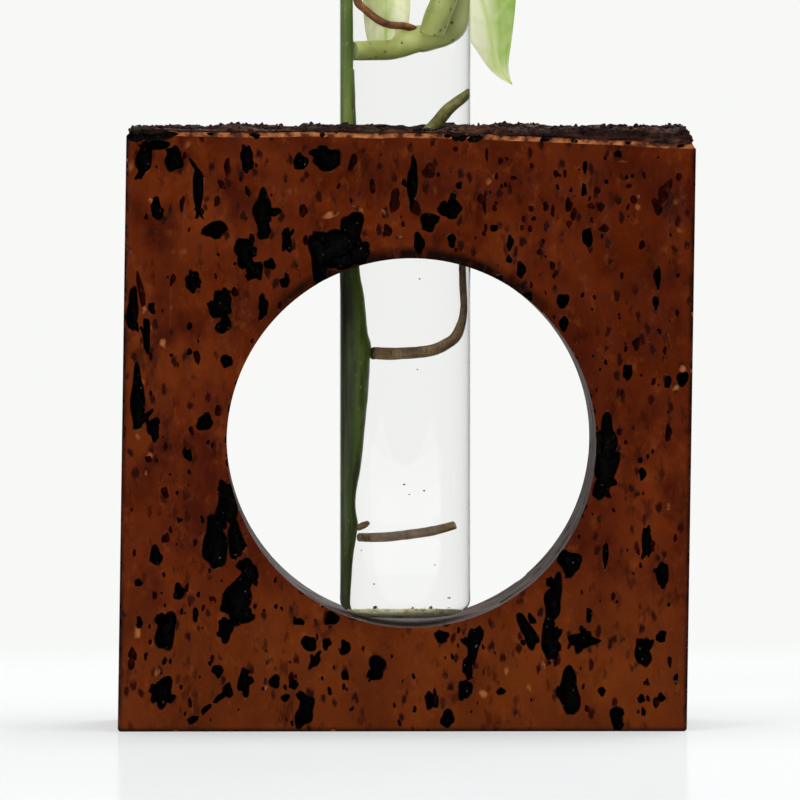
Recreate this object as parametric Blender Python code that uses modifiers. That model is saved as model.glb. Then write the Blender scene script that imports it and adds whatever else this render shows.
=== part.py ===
"""Window block of cork bark that holds a glass propagation tube with one rooted cutting.

Metres, +Z up, the block's front face looks along -Y. The origin is the middle of the block's foot.
"""

import math
import random

import bmesh
import bpy
from mathutils import Matrix, Vector, noise

# Cork block: sawn faces, a round window from front to back, bark left on top
WINDOW_RADIUS = 0.035
WINDOW_OFFSET = 0.0009
FLOOR_BAR = 0.0196
TOP_BAR = 0.0224
SIDE_BAR = 0.0189
BLOCK_DEPTH = 0.045
BLOCK_LEAN = 0.0017
TOP_FALL = 0.0018
EDGE_ROUND = 0.001
CRUST_HEIGHT = 0.0034
CRUST_LUMP = 0.011
CRUST_EDGE = 0.0014
PIT_DEPTH = 0.0024

# Glass tube: flat bottom, drawn wall, fire-polished rim
TUBE_RADIUS = 0.0125
TUBE_LENGTH = 0.150
TUBE_WALL = 0.0012
TUBE_BASE = 0.0015
TUBE_HEEL = 0.002
RIM_SWELL = 0.0005
RIM_HEIGHT = 0.0024

# Clearances
SEAT_GAP = 0.0003
BORE_GAP = 0.0003

# Cutting: thickness of each organ
STEM_RADIUS = 0.0021
MIDDLE_ROOT_RADIUS = 0.00125
LOWER_ROOT_RADIUS = 0.00095
UPPER_ROOT_RADIUS = 0.001
AERIAL_ROOT_RADIUS = 0.00075
SHOOT_RADIUS = 0.00195
SHOOT_STALK_RADIUS = 0.0018
PETIOLE_RADIUS = 0.001
BUD_RADIUS = 0.00065
LEAF_THICKNESS = 0.0006

# Cutting: where its organs sit, from the tube's inner floor or from the block's top
LOWER_NODE = 0.0144
MIDDLE_NODE = 0.0490
UPPER_NODE_DROP = 0.0100
SHOOT_RISE = 0.0136
STEM_STAND_OUT = 0.0120
MIDDLE_ROOT_CLIMB = 0.0260
UPPER_ROOT_CLIMB = 0.0158
ROOT_DEPTH = 0.0012
SHOOT_DEPTH = 0.0034
SHOOT_WALK = 0.0070
STALK_FRONT = 0.0009

# Cutting: the stem's thickness at its nodes, as shares of its radius
LOWER_NODE_SHARE = 0.93
MIDDLE_NODE_SHARE = 1.43
UPPER_NODE_SHARE = 1.05
SHOOT_NODE_SHARE = 0.77

# Leaves
HANGING_LEAF_LENGTH = 0.053
HANGING_LEAF_WIDTH = 0.021
HANGING_LEAF_HOOK = 0.0019
HANGING_TIP_RISE = 0.0065
HANGING_TIP_OUT = 0.0066
HANGING_LEAF_BACK = 0.0048
UPRIGHT_LEAF_LENGTH = 0.050
UPRIGHT_LEAF_WIDTH = 0.032
TOP_LEAF_LENGTH = 0.046
TOP_LEAF_WIDTH = 0.030
YOUNG_LEAF_LENGTH = 0.026
YOUNG_LEAF_WIDTH = 0.0056

# Facets
WINDOW_SIDES = 72
BORE_SIDES = 48
TUBE_STEPS = 44
STEPS_PER_SPAN = 3
CRUST_CELLS_X = 40
CRUST_CELLS_Y = 16
PIT_SEED = 11

# What follows from the sizes above
BLOCK_WIDTH = 2 * (WINDOW_RADIUS + SIDE_BAR)
BLOCK_HEIGHT = FLOOR_BAR + 2 * WINDOW_RADIUS + TOP_BAR
BLOCK_TOP = BLOCK_HEIGHT + CRUST_HEIGHT
WINDOW_Z = FLOOR_BAR + WINDOW_RADIUS
INNER_RADIUS = TUBE_RADIUS - TUBE_WALL
REACH = INNER_RADIUS - SEAT_GAP
HEEL_CENTRE = TUBE_RADIUS - TUBE_HEEL
INNER_HEEL = TUBE_HEEL - TUBE_WALL / 2
TUBE_FOOT = (
    WINDOW_Z
    - math.sqrt((WINDOW_RADIUS - SEAT_GAP - TUBE_HEEL) ** 2 - (HEEL_CENTRE + WINDOW_OFFSET) ** 2)
    - TUBE_HEEL
)
BLOCK_TOP_IN_TUBE = BLOCK_TOP - TUBE_FOOT
STEM_X = STEM_RADIUS - REACH

# Large pores of the front face: place from the window's axis, width, height, tilt in degrees
FRONT_PITS = [
    (-0.0495, 0.0536, 0.0052, 0.0036, 10),
    (-0.0452, 0.0536, 0.0030, 0.0047, 0),
    (-0.0404, 0.0476, 0.0019, 0.0090, 0),
    (-0.0482, 0.0443, 0.0023, 0.0042, -8),
    (-0.0372, 0.0404, 0.0047, 0.0034, 0),
    (-0.0283, 0.0432, 0.0042, 0.0092, 8),
    (-0.0312, 0.0345, 0.0046, 0.0080, -14),
    (-0.0236, 0.0383, 0.0019, 0.0047, 0),
    (-0.0210, 0.0532, 0.0028, 0.0034, 0),
    (-0.0160, 0.0538, 0.0049, 0.0053, 0),
    (-0.0312, 0.0538, 0.0023, 0.0053, 0),
    (-0.0150, 0.0378, 0.0092, 0.0090, 0),
    (-0.0414, 0.0305, 0.0023, 0.0042, 0),
    (-0.0361, 0.0249, 0.0048, 0.0082, 12),
    (-0.0512, 0.0082, 0.0032, 0.0110, 0),
    (-0.0391, 0.0040, 0.0030, 0.0034, 0),
    (-0.0362, -0.0150, 0.0062, 0.0165, -6),
    (-0.0322, -0.0300, 0.0058, 0.0125, -18),
    (-0.0465, -0.0357, 0.0042, 0.0068, 0),
    (-0.0471, -0.0470, 0.0038, 0.0057, 0),
    (-0.0202, -0.0505, 0.0034, 0.0058, 8),
    (-0.0066, -0.0425, 0.0034, 0.0047, 0),
    (0.0002, 0.0494, 0.0019, 0.0095, 0),
    (0.0074, 0.0443, 0.0038, 0.0042, 0),
    (0.0374, -0.0018, 0.0044, 0.0150, 0),
    (0.0306, -0.0226, 0.0038, 0.0053, 0),
    (0.0270, -0.0334, 0.0038, 0.0150, -6),
    (0.0218, -0.0357, 0.0028, 0.0066, 26),
    (0.0324, -0.0374, 0.0053, 0.0036, 0),
    (0.0118, -0.0410, 0.0030, 0.0110, 8),
    (0.0300, -0.0478, 0.0040, 0.0082, 0),
    (0.0439, -0.0398, 0.0030, 0.0053, 0),
    (0.0445, -0.0187, 0.0019, 0.0053, 0),
    (0.0475, -0.0247, 0.0023, 0.0047, 0),
    (0.0207, 0.0328, 0.0020, 0.0034, 0),
    (0.0477, 0.0468, 0.0028, 0.0038, 0),
]
BACK_PIT_TRIES = 90
END_PIT_TRIES = 24
BACK_PIT_SIZES = (0.0022, 0.0052, 0.0042, 0.0120)


def clear_scene():
    """Remove every object, so that the model starts from nothing."""
    for old in list(bpy.data.objects):
        bpy.data.objects.remove(old, do_unlink=True)


def new_collection(name):
    collection = bpy.data.collections.new(name)
    bpy.context.scene.collection.children.link(collection)
    return collection


def new_material(name, colour, roughness, metallic=0.0):
    material = bpy.data.materials.new(name)
    material.use_nodes = True
    shader = material.node_tree.nodes["Principled BSDF"]
    shader.inputs["Base Color"].default_value = (*colour, 1.0)
    shader.inputs["Roughness"].default_value = roughness
    shader.inputs["Metallic"].default_value = metallic
    material.diffuse_color = (*colour, 1.0)
    return material


def mesh_object(name, bm, material, collection, parent=None):
    """A new object whose mesh is the bmesh, which is freed."""
    mesh = bpy.data.meshes.new(name)
    bm.to_mesh(mesh)
    bm.free()
    if material:
        mesh.materials.append(material)
    made = bpy.data.objects.new(name, mesh)
    made.parent = parent
    collection.objects.link(made)
    return made


def cutter_object(name, bm, collection):
    made = mesh_object(name, bm, None, collection)
    made.hide_render = True
    made.display_type = "WIRE"
    return made


def cut(target, cutter, overlapping=False):
    modifier = target.modifiers.new(cutter.name, "BOOLEAN")
    modifier.operation = "DIFFERENCE"
    modifier.solver = "EXACT"
    modifier.use_self = overlapping
    modifier.object = cutter


def axis_empty(name, height, collection, parent=None):
    """An empty on the tube's axis, which carries what slides along it."""
    empty = bpy.data.objects.new(name, None)
    empty.location = (0.0, 0.0, height)
    empty.parent = parent
    collection.objects.link(empty)
    return empty


def crust_rise(x, y):
    """Height of the bark's crust over the sawn edge: lumpy, and lower where it ends at the edges."""
    lumps = noise.noise(Vector((x / CRUST_LUMP, y / CRUST_LUMP, 0.7)))
    crumbs = noise.noise(Vector((3.1 * x / CRUST_LUMP, 3.1 * y / CRUST_LUMP, 4.2)))
    share = 0.72 + 0.35 * lumps + 0.25 * crumbs
    return CRUST_HEIGHT * min(1.0, max(0.25, share))


def cell_lines(width, cells):
    """Where the top face is divided along one side: a narrow strip at each edge, equal cells between."""
    inside = width - 2 * CRUST_EDGE
    return [inside * (i / cells - 0.5) for i in range(cells + 1)]


def split_top(bm):
    """Cut the blank's top face into a grid, and leave its other faces whole."""
    cuts = [(Vector((x, 0, 0)), Vector((1, 0, 0))) for x in cell_lines(BLOCK_WIDTH, CRUST_CELLS_X)]
    cuts += [(Vector((0, y, 0)), Vector((0, 1, 0))) for y in cell_lines(BLOCK_DEPTH, CRUST_CELLS_Y)]
    for place, normal in cuts:
        faces = top_of(bm)
        edges = {e for f in faces for e in f.edges}
        verts = {v for f in faces for v in f.verts}
        bmesh.ops.bisect_plane(
            bm, geom=faces + list(edges) + list(verts), dist=1e-6, plane_co=place, plane_no=normal
        )


def top_of(bm):
    """The faces that lie in the blank's top plane."""
    return [f for f in bm.faces if all(abs(v.co.z - BLOCK_HEIGHT) < 1e-6 for v in f.verts)]


def block_blank():
    """The sawn block without its holes: rounded arrises, and a crust of bark on the top face."""
    bm = bmesh.new()
    bmesh.ops.create_cube(bm, size=1.0)
    for v in bm.verts:
        v.co = Vector((v.co.x * BLOCK_WIDTH, v.co.y * BLOCK_DEPTH, (v.co.z + 0.5) * BLOCK_HEIGHT))
    arrises = [e for e in bm.edges if any(v.co.z < BLOCK_HEIGHT / 2 for v in e.verts)]
    bmesh.ops.bevel(bm, geom=arrises, offset=EDGE_ROUND, segments=2, profile=0.5, affect="EDGES")
    split_top(bm)
    top_faces = top_of(bm)
    top_verts = {v for f in top_faces for v in f.verts}
    rim = {v for v in top_verts if any(f not in top_faces for f in v.link_faces)}
    for v in top_verts:
        fall = -TOP_FALL * v.co.x / BLOCK_WIDTH
        v.co.z = BLOCK_HEIGHT + (fall if v in rim else crust_rise(v.co.x, v.co.y))
    bmesh.ops.triangulate(bm, faces=top_faces)
    for v in bm.verts:
        v.co.x += BLOCK_LEAN * (v.co.z / BLOCK_HEIGHT - 0.5)
    return bm


def cylinder(radius, length, sides, matrix):
    bm = bmesh.new()
    bmesh.ops.create_cone(
        bm, cap_ends=True, segments=sides, radius1=radius, radius2=radius, depth=length, matrix=matrix
    )
    return bm


def add_pit(bm, place, facing, width, height, tilt, rng):
    """One uneven hollow, as a low ellipsoid centred on the sawn face that it opens in."""
    depth = PIT_DEPTH * rng.uniform(0.7, 1.15)
    turn = Matrix.Rotation(facing, 4, "Z") @ Matrix.Rotation(math.radians(tilt), 4, "Y")
    lie = Matrix.Rotation(math.radians(90), 4, "X")
    size = Matrix.Diagonal((width / 2, depth, height / 2, 1.0))
    new = bmesh.ops.create_uvsphere(bm, u_segments=8, v_segments=4, radius=1.0)["verts"]
    for v in new:
        spread = rng.uniform(0.85, 1.12)
        ball = lie @ v.co
        v.co = place + turn @ (size @ Vector((ball.x * spread, ball.y, ball.z * spread)))


def spread_out(candidates, gap):
    """The candidates that lie further than the gap from each one kept before."""
    kept = []
    for place in candidates:
        if all((place - other).length > gap for other in kept):
            kept.append(place)
    return kept


def back_seats(rng):
    """Chance places on the back face, clear of the window and of each other."""
    wide, tall = BACK_PIT_SIZES[1], BACK_PIT_SIZES[3]
    candidates = []
    for _ in range(BACK_PIT_TRIES):
        x = rng.uniform(-0.5, 0.5) * (BLOCK_WIDTH - 2 * wide)
        z = rng.uniform(tall, BLOCK_HEIGHT - tall)
        if math.hypot(x - WINDOW_OFFSET, z - WINDOW_Z) > WINDOW_RADIUS + wide:
            candidates.append(Vector((x, BLOCK_DEPTH / 2, z)))
    return [(seat, math.pi) for seat in spread_out(candidates, tall)]


def end_seats(rng):
    """Chance places on the block's two ends."""
    wide, tall = BACK_PIT_SIZES[1], BACK_PIT_SIZES[3]
    seats = []
    for side in (-1, 1):
        candidates = []
        for _ in range(END_PIT_TRIES):
            y = rng.uniform(-0.5, 0.5) * (BLOCK_DEPTH - 2 * wide)
            z = rng.uniform(tall, BLOCK_HEIGHT - tall)
            x = side * BLOCK_WIDTH / 2 + BLOCK_LEAN * (z / BLOCK_HEIGHT - 0.5)
            candidates.append(Vector((x, y, z)))
        seats += [(seat, side * math.pi / 2) for seat in spread_out(candidates, tall)]
    return seats


def pore_cutter(collection):
    """The large pores: placed by hand on the front face, and by chance on the back and the ends."""
    rng = random.Random(PIT_SEED)
    narrow, wide, short, tall = BACK_PIT_SIZES
    bm = bmesh.new()
    for x, z, width, height, tilt in FRONT_PITS:
        place = Vector((WINDOW_OFFSET + x, -BLOCK_DEPTH / 2, WINDOW_Z + z))
        add_pit(bm, place, 0.0, width, height, tilt, rng)
    for seat, facing in back_seats(rng) + end_seats(rng):
        size = rng.uniform(narrow, wide), rng.uniform(short, tall)
        add_pit(bm, seat, facing, *size, rng.uniform(-15, 15), rng)
    return cutter_object("pores", bm, collection)


def make_block(parts, cutters):
    cork = new_material("cork_varnished", (0.08, 0.014, 0.004), 0.35)
    block = mesh_object("cork_block", block_blank(), cork, parts)
    through = Matrix.Translation((WINDOW_OFFSET, 0, WINDOW_Z)) @ Matrix.Rotation(math.radians(90), 4, "X")
    window = cylinder(WINDOW_RADIUS, BLOCK_DEPTH * 1.5, WINDOW_SIDES, through)
    bore_length = BLOCK_TOP + CRUST_HEIGHT - WINDOW_Z
    up = Matrix.Translation((0, 0, WINDOW_Z + bore_length / 2))
    bore = cylinder(TUBE_RADIUS + BORE_GAP, bore_length, BORE_SIDES, up)
    cut(block, cutter_object("window", window, cutters))
    cut(block, cutter_object("bore", bore, cutters))
    cut(block, pore_cutter(cutters), overlapping=True)
    return block


def arc(centre_x, centre_z, radius_x, radius_z, start, end, steps):
    """Points on an elliptical arc between two angles in degrees."""
    angles = [math.radians(start + (end - start) * i / steps) for i in range(steps + 1)]
    return [(centre_x + radius_x * math.cos(a), centre_z + radius_z * math.sin(a)) for a in angles]


def tube_profile():
    """Half section of the tube, from the middle of its inner floor, over the rim, to its foot."""
    rim_middle = (INNER_RADIUS + TUBE_RADIUS + RIM_SWELL) / 2
    rim_half = rim_middle - INNER_RADIUS
    profile = [(0.0, TUBE_BASE)]
    profile += arc(INNER_RADIUS - INNER_HEEL, TUBE_BASE + INNER_HEEL, INNER_HEEL, INNER_HEEL, -90, 0, 3)
    profile += arc(rim_middle, TUBE_LENGTH - rim_half, rim_half, rim_half, 180, 0, 6)
    profile += [(TUBE_RADIUS, TUBE_LENGTH - RIM_HEIGHT)]
    profile += arc(HEEL_CENTRE, TUBE_HEEL, TUBE_HEEL, TUBE_HEEL, 0, -90, 4)
    profile += [(0.0, 0.0)]
    return profile


def make_tube(parts, parent):
    glass = new_material("clear_glass", (0.86, 0.9, 0.88), 0.03)
    glass.node_tree.nodes["Principled BSDF"].inputs["Transmission Weight"].default_value = 1.0
    bm = bmesh.new()
    points = [bm.verts.new((x, 0.0, z)) for x, z in tube_profile()]
    for lower, upper in zip(points, points[1:]):
        bm.edges.new((lower, upper))
    tube = mesh_object("glass_tube", bm, glass, parts, parent)
    screw = tube.modifiers.new("turned", "SCREW")
    screw.steps = screw.render_steps = TUBE_STEPS
    screw.use_merge_vertices = True
    screw.merge_threshold = 0.00001
    screw.use_smooth_shade = True
    return tube


def smooth_route(knots):
    """Points of a smooth curve through knots of x, y, z and radius."""
    ends = [knots[0]] + list(knots) + [knots[-1]]
    route = []
    for a, b, c, d in zip(ends, ends[1:], ends[2:], ends[3:]):
        for step in range(STEPS_PER_SPAN):
            t = step / STEPS_PER_SPAN
            point = []
            for p, q, r, s in zip(a, b, c, d):
                bend = (r - p) * t + (2 * p - 5 * q + 4 * r - s) * t**2
                point.append(q + 0.5 * (bend + (3 * q - p - 3 * r + s) * t**3))
            route.append(point)
    return route + [list(knots[-1])]


def stalk(name, knots, material, parts, parent):
    """A stem, root or stalk: a round rod of changing thickness along a smooth route."""
    route = smooth_route(knots)
    curve = bpy.data.curves.new(name, "CURVE")
    curve.dimensions = "3D"
    curve.bevel_depth = max(radius for *_, radius in route)
    curve.bevel_resolution = 2
    curve.use_fill_caps = True
    spline = curve.splines.new("POLY")
    spline.points.add(len(route) - 1)
    for point, (x, y, z, radius) in zip(spline.points, route):
        point.co = (x, y, z, 1.0)
        point.radius = radius / curve.bevel_depth
    spline.use_smooth = True
    curve.materials.append(material)
    made = bpy.data.objects.new(name, curve)
    made.parent = parent
    parts.objects.link(made)
    return made


def at_wall(y, radius):
    """How far right of the axis a rod of this radius lies when it touches the tube's wall."""
    return math.sqrt((REACH - radius) ** 2 - y**2)


def leaf(name, base, tip, face, width, cup, bulge, material, parts, parent, hook=0.0):
    """A blade from base to tip: heart-shaped, folded along its midrib, arched and bent sideways.

    The hook bends its very tip back to the other side.
    """
    base, tip = Vector(base), Vector(tip)
    along = tip - base
    length = along.length
    along.normalize()
    side = along.cross(Vector(face)).normalized()
    normal = side.cross(along)
    bm = bmesh.new()
    bmesh.ops.create_grid(bm, x_segments=12, y_segments=6, size=1.0)
    for v in bm.verts:
        u = (v.co.x + 1) / 2
        across = v.co.y
        half = width / 2 * math.sin(math.pi * u**0.6) ** 0.9 if 0 < u < 1 else 0.0
        lobe = -0.22 * length * abs(across) ** 1.5 * math.exp(-6 * u)
        arch = cup * math.sin(math.pi * u) - 0.22 * half * (1 - abs(across)) - 0.12 * cup * across**2
        sideways = half * across + bulge * math.sin(math.pi * u) - hook * max(0.0, 10 * u - 9) ** 2
        forward = u * length + lobe * math.sin(math.pi * min(1.0, 3 * u))
        v.co = base + along * forward + side * sideways + normal * arch
    bmesh.ops.remove_doubles(bm, verts=bm.verts, dist=1e-5)
    bmesh.ops.recalc_face_normals(bm, faces=bm.faces)
    for f in bm.faces:
        f.smooth = True
    blade = mesh_object(name, bm, material, parts, parent)
    skin = blade.modifiers.new("thickness", "SOLIDIFY")
    skin.thickness = LEAF_THICKNESS
    skin.offset = 0.0
    return blade


def make_stem(parts, parent, green, brown):
    """The main stem along the tube's left wall, with swellings at its nodes, and the lower node's bud."""
    floor = TUBE_BASE + SEAT_GAP
    top = TUBE_LENGTH + STEM_STAND_OUT
    shoot = BLOCK_TOP_IN_TUBE + SHOOT_RISE
    upper = BLOCK_TOP_IN_TUBE - UPPER_NODE_DROP
    lower, middle = TUBE_BASE + LOWER_NODE, TUBE_BASE + MIDDLE_NODE
    heights = [
        (lower - 0.0060, 0.76),
        (lower, LOWER_NODE_SHARE),
        (lower + 0.0055, 0.87),
        (lower + 0.0130, 1.10),
        (middle - 0.0102, 1.32),
        (middle - 0.0010, MIDDLE_NODE_SHARE),
        (middle + 0.0032, 1.32),
        (middle + 0.0090, 1.22),
        (middle + 0.0162, 1.01),
        (upper, UPPER_NODE_SHARE),
        (BLOCK_TOP_IN_TUBE, 0.90),
        (shoot - 0.0038, 0.82),
        (shoot, SHOOT_NODE_SHARE),
        (TUBE_LENGTH, 0.80),
    ]
    knots = [(0.62 * STEM_RADIUS + INNER_HEEL - REACH, 0.0, floor, 0.62 * STEM_RADIUS)]
    knots += [(share * STEM_RADIUS - REACH, 0.0, z, share * STEM_RADIUS) for z, share in heights]
    knots.append((STEM_X + 0.0006, 0.0, top, 0.8 * STEM_RADIUS))
    stalk("main_stem", knots, green, parts, parent)
    bud_x, bud_z = stem_face(LOWER_NODE_SHARE), lower + 0.0001
    bud = [
        (bud_x, -ROOT_DEPTH / 2, bud_z, BUD_RADIUS * 0.9),
        (bud_x + 0.0007, -ROOT_DEPTH / 2, bud_z + 0.0005, BUD_RADIUS),
        (bud_x + 0.0014, -ROOT_DEPTH / 2, bud_z + 0.0011, BUD_RADIUS * 0.5),
    ]
    stalk("stem_node_bud", bud, brown, parts, parent)


def stem_face(share):
    """The stem's right side where its thickness is this share of its radius, plus the seat's gap."""
    return 2 * share * STEM_RADIUS - REACH + SEAT_GAP


def make_roots(parts, parent, brown, olive):
    """Three roots inside the tube, each from its node on the stem."""
    thick = MIDDLE_ROOT_RADIUS
    wall = at_wall(ROOT_DEPTH, thick * 0.6)
    level = TUBE_BASE + MIDDLE_NODE - 0.0012
    start = stem_face(MIDDLE_NODE_SHARE)
    middle = [
        (start, 0.0, level, thick),
        (start + 0.0016, ROOT_DEPTH * 0.5, level - 0.0001, thick),
        (-0.09 * wall, ROOT_DEPTH, level - 0.0001, thick * 0.96),
        (0.33 * wall, ROOT_DEPTH, level + 0.015 * MIDDLE_ROOT_CLIMB, thick * 0.90),
        (0.55 * wall, ROOT_DEPTH, level + 0.06 * MIDDLE_ROOT_CLIMB, thick * 0.84),
        (0.735 * wall, ROOT_DEPTH, level + 0.14 * MIDDLE_ROOT_CLIMB, thick * 0.72),
        (0.84 * wall, ROOT_DEPTH, level + 0.31 * MIDDLE_ROOT_CLIMB, thick * 0.56),
        (0.82 * wall, ROOT_DEPTH, level + 0.54 * MIDDLE_ROOT_CLIMB, thick * 0.52),
        (0.79 * wall, ROOT_DEPTH, level + MIDDLE_ROOT_CLIMB, thick * 0.35),
    ]
    stalk("middle_root", middle, brown, parts, parent)
    thin = LOWER_ROOT_RADIUS
    level = TUBE_BASE + LOWER_NODE - 0.0018
    lower = [
        (stem_face(LOWER_NODE_SHARE), 0.0, level, thin * 0.9),
        (stem_face(LOWER_NODE_SHARE) + 0.003, ROOT_DEPTH * 0.5, level, thin),
        (-0.0009, ROOT_DEPTH, level + 0.0003, thin),
        (0.0034, ROOT_DEPTH, level + 0.0011, thin),
        (INNER_RADIUS - 0.0042, ROOT_DEPTH, level + 0.0023, thin * 0.85),
    ]
    stalk("lower_root", lower, brown, parts, parent)
    rod = UPPER_ROOT_RADIUS
    level = BLOCK_TOP_IN_TUBE - UPPER_NODE_DROP
    depth = 2 * ROOT_DEPTH
    upper = [
        (stem_face(UPPER_NODE_SHARE), 0.0, level, rod * 0.9),
        (-0.0036, 0.5 * depth, level + 0.08 * UPPER_ROOT_CLIMB, rod),
        (0.0006, depth, level + 0.30 * UPPER_ROOT_CLIMB, rod),
        (0.0040, depth, level + 0.59 * UPPER_ROOT_CLIMB, rod),
        (0.0062, depth, level + 0.81 * UPPER_ROOT_CLIMB, rod),
        (at_wall(depth, rod) - 0.0004, depth, level + UPPER_ROOT_CLIMB, rod * 0.85),
    ]
    stalk("upper_root", upper, olive, parts, parent)


def make_shoot(parts, parent, pale, brown, cream):
    """The thick side shoot, the root and the stalk at its node, and the young blade behind them."""
    rise = BLOCK_TOP_IN_TUBE + SHOOT_RISE
    thick = SHOOT_RADIUS
    top = TUBE_LENGTH + 0.003
    shoot = [
        (stem_face(SHOOT_NODE_SHARE), 0.4 * SHOOT_DEPTH, rise - 0.0001, thick * 0.95),
        (-0.0045, 0.8 * SHOOT_DEPTH, rise, thick),
        (-0.0021, 0.95 * SHOOT_DEPTH, rise + 0.0001, thick),
        (-0.0002, SHOOT_DEPTH, rise + 0.0005, thick),
        (0.0018, SHOOT_DEPTH, rise + 0.0011, thick * 1.06),
        (0.0034, SHOOT_DEPTH, rise + 0.0016, thick),
        (0.0054, SHOOT_DEPTH, rise + 0.0028, thick * 0.95),
        (0.91 * SHOOT_WALK, SHOOT_DEPTH, rise + 0.0046, thick * 0.92),
        (0.98 * SHOOT_WALK, SHOOT_DEPTH, rise + 0.0078, thick * 0.90),
        (SHOOT_WALK, SHOOT_DEPTH, rise + 0.0130, thick * 0.88),
        (SHOOT_WALK, SHOOT_DEPTH, TUBE_LENGTH - 0.006, thick * 0.86),
        (SHOOT_WALK, SHOOT_DEPTH, top, thick * 0.84),
    ]
    stalk("side_shoot", shoot, pale, parts, parent)
    thin = AERIAL_ROOT_RADIUS
    stem_side = stem_face(0.8) + thin
    node_z = rise + 0.0050
    aerial = [
        (0.0018, 0.5 * SHOOT_DEPTH, node_z - 0.0011, thin),
        (0.0004, 0.4 * SHOOT_DEPTH, node_z - 0.0004, thin),
        (-0.0022, 0.4 * SHOOT_DEPTH, node_z - 0.0001, thin),
        (-0.0038, 0.4 * SHOOT_DEPTH, node_z + 0.0009, thin * 0.95),
        (-0.0054, 0.45 * SHOOT_DEPTH, node_z + 0.0026, thin * 0.9),
        (stem_side, 0.6 * SHOOT_DEPTH, node_z + 0.0048, thin * 0.85),
        (stem_side + 0.0004, 0.9 * SHOOT_DEPTH, node_z + 0.0110, thin * 0.6),
    ]
    stalk("aerial_root", aerial, brown, parts, parent)
    rod = SHOOT_STALK_RADIUS
    side = REACH - rod - 0.0028
    petiole = [
        (0.0039, 0.0, rise + 0.0034, rod * 0.9),
        (0.0048, -STALK_FRONT, rise + 0.0065, rod),
        (0.0060, -STALK_FRONT, rise + 0.0105, rod),
        (side, -STALK_FRONT, rise + 0.0180, rod * 0.92),
        (side, -STALK_FRONT, TUBE_LENGTH - 0.004, rod * 0.80),
        (side + 0.0030, -STALK_FRONT - 0.0002, TUBE_LENGTH + 0.008, rod * 0.66),
        (side + 0.0090, -0.0014, TUBE_LENGTH + 0.018, rod * 0.5),
    ]
    stalk("shoot_petiole", petiole, pale, parts, parent)
    upright_base = (side + 0.0094, -0.0015, TUBE_LENGTH + 0.0187)
    upright_tip = (
        upright_base[0] + 0.62 * UPRIGHT_LEAF_LENGTH,
        upright_base[1] - 0.20 * UPRIGHT_LEAF_LENGTH,
        upright_base[2] + 0.60 * UPRIGHT_LEAF_LENGTH,
    )
    leaf(
        "upright_leaf", upright_base, upright_tip, (-0.3, -1.0, 0.5),
        UPRIGHT_LEAF_WIDTH, 0.004, 0.002, cream, parts, parent,
    )
    young_base = (-0.0008, SHOOT_DEPTH + thick + LEAF_THICKNESS, rise + 0.0008)
    young_tip = (young_base[0] - 0.0022, young_base[1] + 0.0016, young_base[2] + YOUNG_LEAF_LENGTH)
    leaf(
        "young_leaf", young_base, young_tip, (0.0, -1.0, 0.0),
        YOUNG_LEAF_WIDTH, 0.0003, 0.0, cream, parts, parent,
    )


def make_hanging_leaf(parts, parent, pale, cream):
    """The leaf whose tip hangs beside the tube, and its stalk over the rim."""
    back = TUBE_RADIUS + HANGING_LEAF_BACK
    tip = Vector((TUBE_RADIUS + HANGING_TIP_OUT, back, BLOCK_TOP_IN_TUBE + HANGING_TIP_RISE))
    drop = Vector((-0.31, 0.0, 0.95)).normalized() * HANGING_LEAF_LENGTH
    base = tip + drop
    leaf(
        "hanging_leaf", base, tip, (0.12, -1.0, 0.05),
        HANGING_LEAF_WIDTH, -0.0025, -0.0023, cream, parts, parent, HANGING_LEAF_HOOK,
    )
    rod = PETIOLE_RADIUS
    start = SHOOT_WALK
    crest = TUBE_LENGTH + 0.0095
    seat = base + drop.normalized() * (SEAT_GAP + 0.0003)
    route = [
        (start, SHOOT_DEPTH, TUBE_LENGTH + 0.003 + SEAT_GAP, rod * 1.1),
        (start, SHOOT_DEPTH + 0.0006, TUBE_LENGTH + 0.0062, rod),
        (start - 0.0012, 0.5 * (SHOOT_DEPTH + back), crest, rod),
        (0.5 * (start + seat.x), back - 0.0016, crest + 0.0004, rod * 0.95),
        (seat.x - 0.0004, back - 0.0002, 0.5 * (crest + seat.z) + 0.0012, rod * 0.9),
        (seat.x, seat.y, seat.z, rod * 0.7),
    ]
    stalk("hanging_petiole", route, pale, parts, parent)


def make_top_leaf(parts, parent, pale, cream):
    """The stem's last leaf, well above the rim."""
    rod = PETIOLE_RADIUS
    start = Vector((STEM_X + 0.0006, 0.0, TUBE_LENGTH + STEM_STAND_OUT + SEAT_GAP))
    base = start + Vector((-0.0075, 0.0030, 0.0150))
    route = [
        (*start, rod * 1.15),
        (start.x - 0.0008, 0.0006, start.z + 0.005, rod),
        (start.x - 0.0036, 0.0016, start.z + 0.0105, rod * 0.9),
        (*base, rod * 0.7),
    ]
    stalk("top_petiole", route, pale, parts, parent)
    base = base + Vector((-0.0004, 0.0001, 0.0006))
    tip = base + Vector((-0.62, 0.16, 0.52)).normalized() * TOP_LEAF_LENGTH
    leaf(
        "top_leaf", base, tip, (0.45, -0.9, 0.55),
        TOP_LEAF_WIDTH, 0.004, -0.002, cream, parts, parent,
    )


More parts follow.
